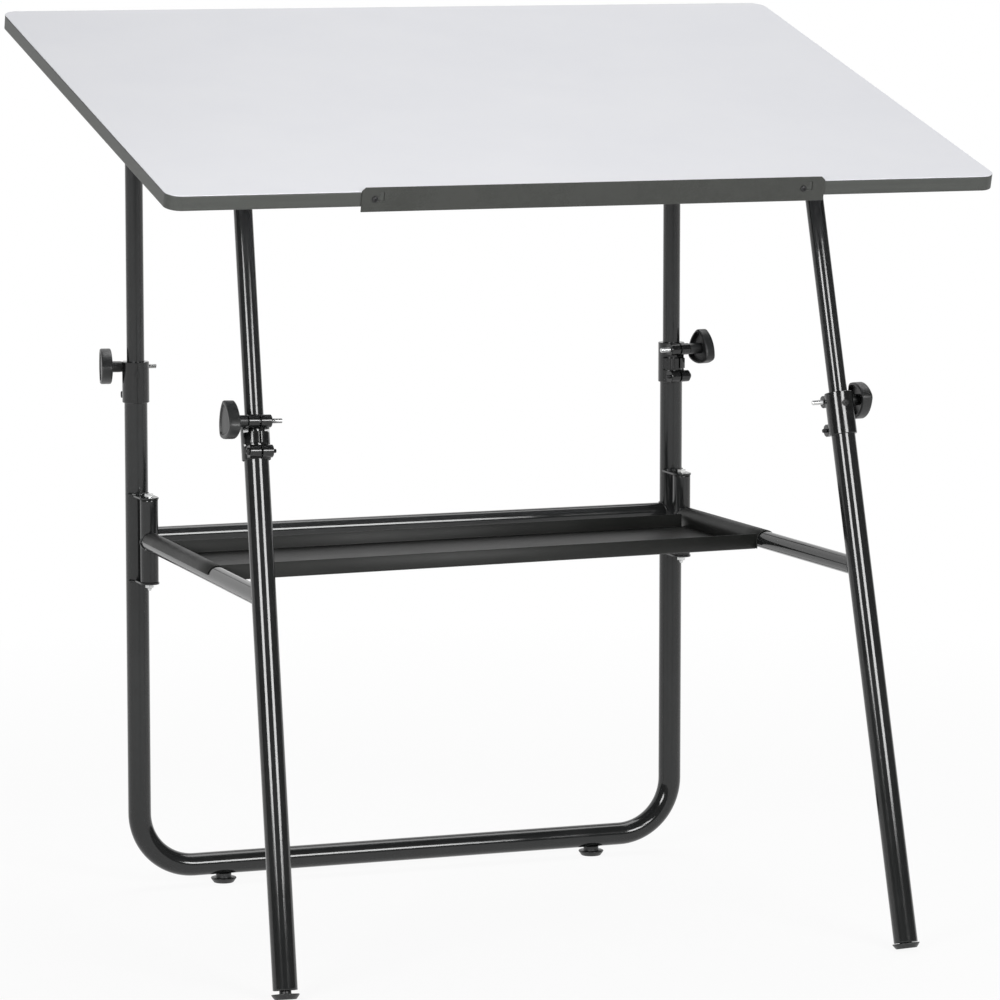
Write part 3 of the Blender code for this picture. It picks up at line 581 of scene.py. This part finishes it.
def cross_screw():
    """Pan head with a cross recess; the head's underside is at the origin, the shank along +Z."""
    radius, rim, dome, shank, long = 0.0038, 0.0008, 0.0014, 0.002, 0.0165
    turns = [math.radians(angle) for angle in (75, 60, 45, 30, 15, 0)]
    rise = [(radius * math.cos(turn), -rim - dome * math.sin(turn)) for turn in turns]
    head = turned([*rise, (radius, 0), (shank, 0), (shank, long)], 32)
    arm, thin, top, bottom = 0.0021, 0.00045, -0.003, -0.0009
    recess = [block((-arm, -thin, top), (arm, thin, bottom)), block((-thin, -arm, top), (thin, arm, bottom))]
    return combined(head, recess, "DIFFERENCE")


piece("ledge_strip", ledge_strip(), LEDGE, "pencil_ledge", ["pencil_ledge"], board_frame, LEDGE_SOFT)
for (name, _), x in zip(SIDES, SCREW_X):
    place = board_frame @ shift(x, LEDGE_FACE - GAP, SCREW_Z) @ Matrix.Rotation(math.radians(-90), 4, "X")
    piece(f"cross_screw_{name}", cross_screw(), STEEL, "top", [f"ledge_screw_{name}"], place)


# Rear frame, cross tube and posts

def u_path(steps=24):
    bar = BAR_LOW + TUBE_R
    points = [Vector((-UPRIGHT_X, UPRIGHT_Y, TUBE_TOP))]
    for x, start in ((BEND_R - UPRIGHT_X, 180), (UPRIGHT_X - BEND_R, 270)):
        for i in range(steps + 1):
            turn = math.radians(start + 90 * i / steps)
            points.append(
                Vector((x + BEND_R * math.cos(turn), UPRIGHT_Y, bar + BEND_R * (1 + math.sin(turn))))
            )
    return [*points, Vector((UPRIGHT_X, UPRIGHT_Y, TUBE_TOP))]


BACKWARD, UP = Vector((0, 1, 0)), Vector((0, 0, 1))
piece("rear_u_tube", pipe(u_path(), BACKWARD, TUBE_R, TUBE_R - TUBE_WALL), ENAMEL, "base", ["rear_frame"])

CROSS_Z = (corner("rear_cross_tube", 0, 2) + corner("rear_cross_tube", 1, 2)) / 2
CROSS_R = (corner("rear_cross_tube", 1, 2) - corner("rear_cross_tube", 0, 2)) / 2
cross_path = [Vector((side * UPRIGHT_X, UPRIGHT_Y, CROSS_Z)) for _, side in SIDES]
CUT_LOW, CUT_HIGH = CROSS_Z - 2 * TUBE_R, CROSS_Z + 2 * TUBE_R
coping = [moved(rod(TUBE_R - SINK, CUT_LOW, CUT_HIGH), uprights[side]) for _, side in SIDES]
cross_tube = combined(pipe(cross_path, BACKWARD, CROSS_R, CROSS_R - TUBE_WALL), coping, "DIFFERENCE")
piece("cross_tube", cross_tube, ENAMEL, "base", ["rear_cross_tube"])
for name, side in SIDES:
    weld_bead(f"cross_weld_{name}", "base", Vector((0, UPRIGHT_Y, CROSS_Z)), Vector((side, 0, 0)), CROSS_R,
              Vector((side * UPRIGHT_X, UPRIGHT_Y, 0)), UP, TUBE_R)

for name, side in SIDES:
    low, high = corner(f"rear_post_{name}", 0, 2), corner(f"rear_post_{name}", 1, 2)
    post = straight_pipe(low, high, POST_R, POST_R - TUBE_WALL)
    piece(f"rear_slide_tube_{name}", post, ENAMEL, "rear_posts", [f"rear_post_{name}"], uprights[side])


# Front legs, posts, arms and hinge sleeves

for name, side in SIDES:
    body = f"front_leg_{name}"
    low = LEG_LOW - (RIGHT_LEG_LOWER if side > 0 else 0)
    leg = straight_pipe(low, LEG_TOP, TUBE_R, TUBE_R - TUBE_WALL)
    piece(f"front_leg_tube_{name}", leg, ENAMEL, body, [body], legs[side])
    post = straight_pipe(LEG_TOP - POST_INSERT, FRONT_POST_HIGH, POST_R, POST_R - TUBE_WALL)
    piece(f"front_slide_tube_{name}", post, ENAMEL, f"front_post_{name}", [f"front_post_{name}"], legs[side])
    axis = hinge[side]
    sleeve = straight_pipe(SLEEVE_LOW, SLEEVE_HIGH, SLEEVE_R, SLEEVE_BORE)
    piece(f"hinge_tube_{name}", sleeve, ENAMEL, body, [f"hinge_sleeve_{name}"], shift(axis.x, axis.y, 0))
    out = Vector((side * math.sin(ARM_SPLAY), -math.cos(ARM_SPLAY), 0))
    start = Vector((axis.x, axis.y, ARM_HEIGHT))
    arm = pipe([start, start + out * ARM_LONG], UP, ARM_R, ARM_R - TUBE_WALL)
    coping = [moved(rod(SLEEVE_R - SINK, SLEEVE_LOW, SLEEVE_HIGH), shift(axis.x, axis.y, 0)),
              moved(rod(TUBE_R - SINK, LEG_LOW, LEG_TOP), legs[side])]
    piece(f"arm_tube_{name}", combined(arm, coping, "DIFFERENCE"), ENAMEL, body, [f"side_arm_{name}"])
    middle = start + out * ARM_LONG / 2
    weld_bead(f"arm_leg_weld_{name}", body, middle, out, ARM_R, legs[side].translation,
              legs[side].col[2].to_3d(), TUBE_R)
    weld_bead(f"arm_hinge_weld_{name}", body, middle, -out, ARM_R, start, UP, SLEEVE_R)


# Leg hinges: lugs, bolts and nuts

LUG_HALF, LUG_BACK, LUG_THICK = 0.0127, 0.0385, 0.0025
HINGE_IN, HINGE_AHEAD = 0.003, 0.0458       # hinge axis from the upright's
LUG_SOFT = 0.0004
HEX_R, HEX_HIGH = 0.0058, 0.0045
BOLT_R, BOLT_PAST_NUT = 0.003, 0.0085
LUG_BEAD, LUG_BEAD_OFF = 0.0021, 0.0002     # weld bead's radius, and its middle off lug and tube
LUG_WELD_START, LUG_WELD_SWEEP = 212, 116   # degrees round the upright


def hinge_lug(side, low, high):
    """Flat lug from the upright to the hinge axis, rounded about it."""
    outline = [(LUG_HALF, LUG_BACK), (-LUG_HALF, LUG_BACK)]
    for i in range(25):
        turn = math.pi * (1 + i / 24)
        outline.append((LUG_HALF * math.cos(turn), LUG_HALF * math.sin(turn)))
    lug = skin([[(x, y, z) for x, y in outline] for z in (low, high)])
    upright = moved(rod(TUBE_R + TIGHT, low - 0.01, high + 0.01), shift(side * HINGE_IN, HINGE_AHEAD, 0))
    return combined(lug, [upright], "DIFFERENCE")


def lug_weld(name, side, z):
    """The weld along the line where a lug meets its upright."""
    centres, outs = [], []
    for i in range(19):
        turn = math.radians(LUG_WELD_START + LUG_WELD_SWEEP * i / 18)
        out = Vector((math.cos(turn), math.sin(turn), 0))
        centres.append(Vector((side * UPRIGHT_X, UPRIGHT_Y, z)) + out * (TUBE_R + LUG_BEAD_OFF))
        outs.append(out)
    bead_along(name, "base", centres, outs, LUG_BEAD, False)


def threaded(radius, low, high, pitch=0.001, tip=0.0):
    """Profile of a rolled thread from low to high, with a pointed or plain end at the low side."""
    root, flank = 0.86, pitch * 0.22
    rows = [(radius * (0.55 if tip else 0.8), low)]
    count = max(2, round((high - low) / pitch))
    for i in range(count):
        z = low + (high - low) * (i + 0.5) / count
        ease = min(1.0, 0.62 + (z - low) / tip * 0.38) if tip else 1.0
        rows += [(radius * root * ease, z - flank), (radius * ease, z + flank)]
    return [*rows, (radius * root, high)]


def hexagon(radius, low, high, chamfer=0.0006):
    """A six-sided head whose corners are turned down at both faces."""
    body = rod(radius, low, high, 6)
    cone = turned([(radius * 0.88, low - 0.0001), (radius * 1.02, low + chamfer),
                   (radius * 1.02, high - chamfer), (radius * 0.88, high + 0.0001)])
    return combined(body, [cone], "INTERSECT")


for name, side in SIDES:
    at = shift(hinge[side].x, hinge[side].y, 0)
    for level, low in (("upper", SLEEVE_HIGH + GAP), ("lower", SLEEVE_LOW - GAP - LUG_THICK)):
        piece(f"hinge_lug_{level}_{name}", hinge_lug(side, low, low + LUG_THICK), ENAMEL, "base",
              [f"hinge_plate_{level}_{name}"], at, LUG_SOFT)
        face = LUG_THICK + LUG_BEAD_OFF if level == "upper" else -LUG_BEAD_OFF
        lug_weld(f"hinge_lug_weld_{level}_{name}", side, low + face)
    seat, nut_top = SLEEVE_HIGH + 2 * GAP + LUG_THICK, SLEEVE_LOW - 2 * GAP - LUG_THICK
    head = hexagon(HEX_R, seat, seat + HEX_HIGH)
    thread = threaded(BOLT_R, nut_top - BOLT_PAST_NUT, nut_top + 0.010, tip=0.003)
    shank = turned([*thread, (BOLT_R, nut_top + 0.0102), (BOLT_R, seat + 0.001)], 24)
    piece(f"hinge_screw_{name}", combined(head, [shank], "UNION"), ZINC, "base", [f"hinge_bolt_{name}"], at)
    bore = rod(BOLT_R + TIGHT, nut_top - 0.01, nut_top + 0.01, 24)
    nut = combined(hexagon(HEX_R, nut_top - HEX_HIGH, nut_top), [bore], "DIFFERENCE")
    piece(f"hexagon_nut_{name}", nut, ZINC, "base", [f"hinge_nut_{name}"], at)


# Clamp collars with their bolts, studs and knobs

COLLAR_EASE, COLLAR_SOFT = 0.0006, 0.0005
BORE_GAP = 0.0002
SPLIT_HALF = 0.0013
WEB_SHORT, WEB_SHARE = 0.0003, 0.92     # web behind a barrel: short of its ends, share of its radius
BOLT_HOLE_R, STUD_HOLE_R = 0.0028, 0.0033
BAND_HALF, BAND_R = 0.0105, 0.0205
BAND_BELOW, BAND_ABOVE = 0.0028, 0.0045         # openings between the band and the barrels
MARK_R, MARK_IN, MARK_OUT, MARK_Z = 0.0042, 0.0150, 0.0181, 0.038


def eased_rod(radius, low, high):
    """Profile of a rod whose two edges are eased."""
    inner = radius - COLLAR_EASE
    return [(inner, low), (radius, low + COLLAR_EASE), (radius, high - COLLAR_EASE), (inner, high)]


def collar():
    """Split clamp: bore along Z, barrels at -Y with their bolts along X, a round mark at the back."""
    ring, over = turned(eased_rod(COLLAR_R, 0, COLLAR_HIGH)), 0.001
    parts = []
    for z in (BARREL_LOW, BARREL_UP):
        barrel = turned(eased_rod(BARREL_R, -BARREL_HALF, BARREL_HALF), 32)
        parts.append(moved(moved(barrel, ALONG_X), shift(0, -BARREL_OUT, z)))
        half, reach = BARREL_HALF - WEB_SHORT, BARREL_R * WEB_SHARE
        parts.append(block((-half, -BARREL_OUT, z - reach), (half, 0, z + reach)))
    low, high = BARREL_LOW + BARREL_R, BARREL_UP - BARREL_R
    band = block((-BAND_HALF, -0.022, low + BAND_BELOW), (BAND_HALF, 0, high - BAND_ABOVE))
    parts.append(combined(band, [rod(BAND_R, 0, COLLAR_HIGH)], "INTERSECT"))
    mark = moved(rod(MARK_R, MARK_IN, MARK_OUT, 24), Matrix.Rotation(math.radians(-90), 4, "X"))
    parts.append(moved(mark, shift(0, 0, MARK_Z)))
    cuts = [
        rod(TUBE_R + BORE_GAP, -over, COLLAR_STEP),
        rod(POST_R + BORE_GAP, COLLAR_STEP - over, COLLAR_HIGH + over),
        block((-SPLIT_HALF, -0.04, -over), (SPLIT_HALF, -POST_R / 2, COLLAR_HIGH + over)),
    ]
    for bottom, top in ((low, low + BAND_BELOW), (high - BAND_ABOVE, high)):
        cuts.append(block((-0.03, -0.04, bottom), (0.03, -POST_R / 2, top)))
    for z, radius in ((BARREL_LOW, BOLT_HOLE_R), (BARREL_UP, STUD_HOLE_R)):
        hole = moved(rod(radius, -0.03, 0.03, 24), ALONG_X)
        cuts.append(moved(hole, shift(0, -BARREL_OUT, z)))
    return combined(combined(ring, parts, "UNION"), cuts, "DIFFERENCE")


KNOB_TURNS = {"front_left": 5, "rear_left": -90, "front_right": -90, "rear_right": 180}
REAR_COLLAR_TURN = 11       # degrees, to the back
KNOB_SIDE, KNOB_CORNER = 0.0305, 0.008
KNOB_BACK, KNOB_FACE, KNOB_ROLL = 0.0147, 0.029, 0.0022
KNOB_WALL, KNOB_HOLLOW = 0.003, 0.005
STUD_PAST, CLAMP_BOLT_PAST = 0.0140, 0.0045     # thread ends past the collar
CLAMP_BOLT_R = 0.0025


def knob_outline(inset, z):
    """A triangle with round corners and bowed sides, one corner towards +X."""
    side, radius = KNOB_SIDE, KNOB_CORNER - inset
    first = Vector((side / math.sqrt(3), 0))
    corners = [Matrix.Rotation(math.radians(120 * i), 2) @ first for i in range(3)]
    points = []
    for i in range(3):
        for centre, reach, start in ((corners[i], radius, -30), (corners[i - 1], side + radius, 30)):
            for step in range(10):
                turn = math.radians(120 * i + start + 6 * step)
                points.append((centre.x + reach * math.cos(turn), centre.y + reach * math.sin(turn), z))
    return points


def knob():
    """Bowed triangular grip with a rolled rim, a dished face and a hollow back, on its stem along +Z."""
    back, face, roll = KNOB_BACK, KNOB_FACE, KNOB_ROLL
    rim = [(roll * (1 - math.cos(turn)), roll * (1 - math.sin(turn))) for turn in
           [math.radians(90 - 18 * i) for i in range(6)]]
    levels = [(inset, back + rise) for inset, rise in rim]
    levels += [(0, back + 0.005), (0, face - 0.005)]
    levels += [(inset, face - rise) for inset, rise in reversed(rim)]
    levels += [(0.0042, face), (0.0047, face - 0.0004), (0.0052, face - 0.0013), (0.0062, face - 0.0016),
               (0.0066, face - 0.0013), (0.0075, face - 0.0012)]
    hollow = skin([knob_outline(KNOB_WALL, back - 0.001),
                   knob_outline(KNOB_WALL + 0.0004, back + KNOB_HOLLOW)])
    grip = combined(skin([knob_outline(*level) for level in levels]), [hollow], "DIFFERENCE")
    stem = turned([(0.0060, 0), (0.0068, 0.0006), (0.0072, 0.004), (0.0072, 0.0150), (0.0072, back + 0.006)])
    bore = rod(BOLT_R + TIGHT, -0.001, 0.010, 24)
    return combined(combined(grip, [stem], "UNION"), [bore], "DIFFERENCE")


def knob_stud():
    tip = -(2 * BARREL_HALF + GAP + STUD_PAST)
    return turned([*threaded(BOLT_R, tip, -0.016), (BOLT_R, -0.0158), (BOLT_R, 0.0098)], 24)


def socket_bolt():
    """Lower clamp bolt: a domed round head with a hexagon recess, and its thread's end."""
    tip = -(2 * BARREL_HALF + GAP + CLAMP_BOLT_PAST)
    thread = threaded(CLAMP_BOLT_R, tip, -0.018, 0.0008)
    head = [(0.0045, 0), (0.0045, 0.0018), (0.0041, 0.0025), (0.0034, 0.0028)]
    shape = turned([*thread, (CLAMP_BOLT_R, 0), *head], 32)
    return combined(shape, [rod(0.0021, 0.0010, 0.006, 6)], "DIFFERENCE")


COLLAR, KNOB, STUD, BOLT = collar(), knob(), knob_stud(), socket_bolt()


def dress_clamp(place, column, tube_end, side, faces_front, body, turned_back=0):
    """A collar on the end of a tube, with its bolt below and its knob and stud above."""
    low = tube_end + GAP - COLLAR_STEP
    seat = column @ shift(0, 0, low) @ Matrix.Rotation(side * math.radians(turned_back), 4, "Z")
    turn = Matrix.Rotation(0 if faces_front else math.pi, 4, "Z")
    piece(f"clamp_collar_{place}", COLLAR, GLOSS_PLASTIC, body, [f"collar_{place}"], seat @ turn, COLLAR_SOFT)
    y = -BARREL_OUT if faces_front else BARREL_OUT
    outward = Matrix.Rotation(side * math.radians(90), 4, "Y")
    across = side * (BARREL_HALF + GAP)
    upper, lower = seat @ shift(across, y, BARREL_UP) @ outward, seat @ shift(across, y, BARREL_LOW) @ outward
    grip = upper @ Matrix.Rotation(math.radians(KNOB_TURNS[place]), 4, "Z")
    piece(f"clamp_grip_{place}", KNOB, PLASTIC, f"knob_{place}", [f"knob_{place}"], grip)
    piece(f"grip_stud_{place}", STUD, ZINC, f"knob_{place}", [f"knob_stud_{place}"], upper)
    piece(f"socket_bolt_{place}", BOLT, STEEL, body, [f"clamp_bolt_{place}"], lower)


for name, side in SIDES:
    dress_clamp(f"front_{name}", legs[side], LEG_TOP, side, side < 0, f"front_leg_{name}")
    dress_clamp(f"rear_{name}", uprights[side], TUBE_TOP, side, side > 0, "base", REAR_COLLAR_TURN)


# Feet

REAR_NECK, FRONT_NECK = 0.0102, 0.0072
REAR_NECK_TOP, FRONT_NECK_TOP = 0.0236, 0.0229


def glide(neck_top, neck):
    """Round foot: a tapered pad with a soft rim on its neck, which narrows to the screw."""
    return turned(
        [
            (0.0120, 0), (0.0131, 0.0002), (0.0135, 0.0007), (0.0166, 0.0050), (0.0169, 0.0056),
            (0.0170, 0.0060), (0.0169, 0.0063), (0.0164, 0.0066), (neck + 0.0012, 0.0068),
            (neck + 0.0002, 0.0071), (neck, 0.0078), (neck, 0.0124), (0.0055, 0.0125), (0.0055, neck_top),
        ]
    )


for name, side in SIDES:
    rear = joints[f"rear_foot_{name}_turn"]["pos_m"]
    foot = glide(REAR_NECK_TOP, REAR_NECK)
    piece(f"rear_glide_{name}", foot, PLASTIC, f"rear_foot_{name}", [f"rear_foot_{name}"], shift(*rear))
    foot = glide(FRONT_NECK_TOP, FRONT_NECK)
    piece(f"front_glide_{name}", foot, PLASTIC, f"front_foot_{name}", [f"front_foot_{name}"],
          legs[side] @ shift(0, 0, FOOT_LIFT))


# Tray

TRAY_SHEET, TRAY_SOFT = 0.0012, 0.0002
TRAY_FLOOR_DROP = 0.0112    # floor's underside below the arm axis
TRAY_FLOOR = ARM_HEIGHT - TRAY_FLOOR_DROP + TRAY_SHEET / 2
TRAY_FRONT_WALL, TRAY_BACK_WALL = 0.0198, 0.018
FLANK_OVERLAP, BACK_WALL_SHORT = 0.0004, -0.002     # wall ends past the flanks, or short of them
HOOK_R = ARM_R + GAP + TRAY_SHEET / 2
LIP_ANGLE = 8               # degrees, where a hook's lip ends above the arm's middle
HOOK_BACK, HOOK_FRONT = 0.014, {-1: 0.3295, 1: 0.2665}
PAN_BACK, PAN_FRONT = {-1: 0.055, 1: 0.033}, {-1: 0.302, 1: 0.2645}
BEND, WALL_UNDERLAP = 0.0022, 0.004     # a wall's bend, and how far its foot runs on along the floor
HINGE_X, HINGE_Y = hinge[1].x, hinge[1].y


def hook_line(side, ahead):
    """Middle line of the sheet across a hook: from its lip over the arm and down to the floor."""
    arm_x = HINGE_X + ahead * math.tan(ARM_SPLAY)
    line = []
    for i in range(25):
        turn = math.radians(LIP_ANGLE + (180 - LIP_ANGLE) * i / 24)
        line.append(Vector((side * (arm_x + HOOK_R * math.cos(turn)), HINGE_Y - ahead,
                            ARM_HEIGHT + HOOK_R * math.sin(turn))))
    return [*line, Vector((side * (arm_x - HOOK_R), HINGE_Y - ahead, TRAY_FLOOR))]


def pan_line(places, inset, reach, z):
    """A line across the pan from flank to flank, in from its edge by inset."""
    line = []
    for side in (-1, 1):
        ahead = places[side] + inset
        half = HINGE_X + ahead * math.tan(ARM_SPLAY) - HOOK_R - TRAY_SHEET / 2 + reach
        line.append(Vector((side * half, HINGE_Y - ahead, z)))
    return line


def strip_mesh(rows):
    """A sheet through rows of points with the same count, before it gets its thickness."""
    bm = bmesh.new()
    made = [[bm.verts.new(p) for p in row] for row in rows]
    for one, other in zip(made, made[1:]):
        for i in range(len(one) - 1):
            bm.faces.new((one[i], one[i + 1], other[i + 1], other[i]))
    return shaded(bm, 50)


def thicken(made, thickness):
    solid = made.modifiers.new("sheet", "SOLIDIFY")
    solid.thickness, solid.offset = thickness, 0
    edge = made.modifiers.new("soft_edge", "BEVEL")
    edge.width, edge.segments, edge.limit_method = TRAY_SOFT, 1, "ANGLE"
    edge.angle_limit = math.radians(50)


def tray_wall(places, inward, high, reach):
    """Front or rear wall with the bend that joins it to the floor."""
    edge = 0.75 * TRAY_SHEET
    rows = [pan_line(places, inward * (edge + BEND + WALL_UNDERLAP), reach, TRAY_FLOOR)]
    for angle in range(-90, 1, 15):
        turn = math.radians(angle)
        inset = edge + BEND * (1 - math.cos(turn))
        rows.append(pan_line(places, inward * inset, reach, TRAY_FLOOR + BEND * (1 + math.sin(turn))))
    return [*rows, pan_line(places, inward * edge, reach, TRAY_FLOOR - TRAY_SHEET / 2 + high)]


def tray_piece(name, rows, stands_for=()):
    thicken(piece(name, strip_mesh(rows), SHEET, "tray", stands_for), TRAY_SHEET)


floor_ends = [pan_line(PAN_BACK, BEND, FLANK_OVERLAP, TRAY_FLOOR),
              pan_line(PAN_FRONT, -BEND, FLANK_OVERLAP, TRAY_FLOOR)]
tray_piece("tray_floor", floor_ends, ["tray"])
tray_piece("tray_front_wall", tray_wall(PAN_FRONT, -1, TRAY_FRONT_WALL, FLANK_OVERLAP))
tray_piece("tray_back_wall", tray_wall(PAN_BACK, 1, TRAY_BACK_WALL, BACK_WALL_SHORT))
for name, side in SIDES:
    stations = [HOOK_BACK + (HOOK_FRONT[side] - HOOK_BACK) * i / 6 for i in range(7)]
    tray_piece(f"tray_hook_{name}", [hook_line(side, ahead) for ahead in stations])


# CAD pieces that keep their own shape

KEPT_NODES = {
    "leg_plug": PLASTIC, "post_cap": PLASTIC, "front_rest": PLASTIC, "post_head": PLASTIC,
    "top_bracket": SHEET, "pivot_pin": ZINC,
}
for node, finish in KEPT_NODES.items():
    for name, _ in SIDES:
        for slot in frame["nodes"][f"{node}_{name}"].material_slots:
            slot.material = finish.material


# Floor and backdrop in one pale sweep, wide enough to look at the table from every side

SWEEP_FRONT, SWEEP_FLAT, SWEEP_BEND, SWEEP_HIGH, SWEEP_HALF = -14.0, 15.0, 11.0, 33.0, 52.0
PAPER_NEAR, PAPER_FAR = 1.0, 2.5    # the paper turns to plain white between these distances
PAPER_WHITE = 0.92                  # share of white near the table, where the paper keeps the shadow
ROOM_LIGHT = 0.12


def studio_sweep():
    rows = [(SWEEP_FRONT, 0.0)]
    for i in range(13):
        turn = math.radians(90 * i / 12)
        rows.append((SWEEP_FLAT + SWEEP_BEND * math.sin(turn), SWEEP_BEND - SWEEP_BEND * math.cos(turn)))
    rows.append((SWEEP_FLAT + SWEEP_BEND, SWEEP_HIGH))
    mesh = strip_mesh([[Vector((x, y, z)) for x in (-SWEEP_HALF, SWEEP_HALF)] for y, z in rows])
    sweep = bpy.data.objects.new("studio_sweep", mesh)
    scene.collection.objects.link(sweep)
    paper = Finish("pale_paper", Roughness=0.9)
    paper.feed(Base_Color=paper.blend(paper.noise(30), (0.90, 0.90, 0.90), (0.88, 0.88, 0.88)))
    mesh.materials.append(paper.material)
    away = paper.node("ShaderNodeVectorMath", {"operation": "LENGTH"}, {0: paper.place()}, 1)
    share = PAPER_WHITE + (1 - PAPER_WHITE) * paper.narrow(away, PAPER_NEAR, PAPER_FAR)
    seen = 0
    for kind in ("Is Camera Ray", "Is Glossy Ray", "Is Transmission Ray"):
        seen = seen + paper.node("ShaderNodeLightPath", {}, {}, kind)
    glow = paper.node("ShaderNodeEmission", {}, {"Strength": 1.0})
    lit = Value(paper, paper.shader.outputs[0])
    mix = paper.node("ShaderNodeMixShader", {}, {0: share * seen, 1: lit, 2: glow})
    paper.link(mix, paper.tree.nodes["Material Output"].inputs["Surface"])


def studio_world():
    world = bpy.data.worlds.new("studio")
    scene.world = world
    world.use_nodes = True
    back = world.node_tree.nodes["Background"]
    back.inputs["Color"].default_value = (1, 1, 1, 1)
    back.inputs["Strength"].default_value = ROOM_LIGHT


studio_sweep()
studio_world()
scene.view_settings.view_transform = "Standard"
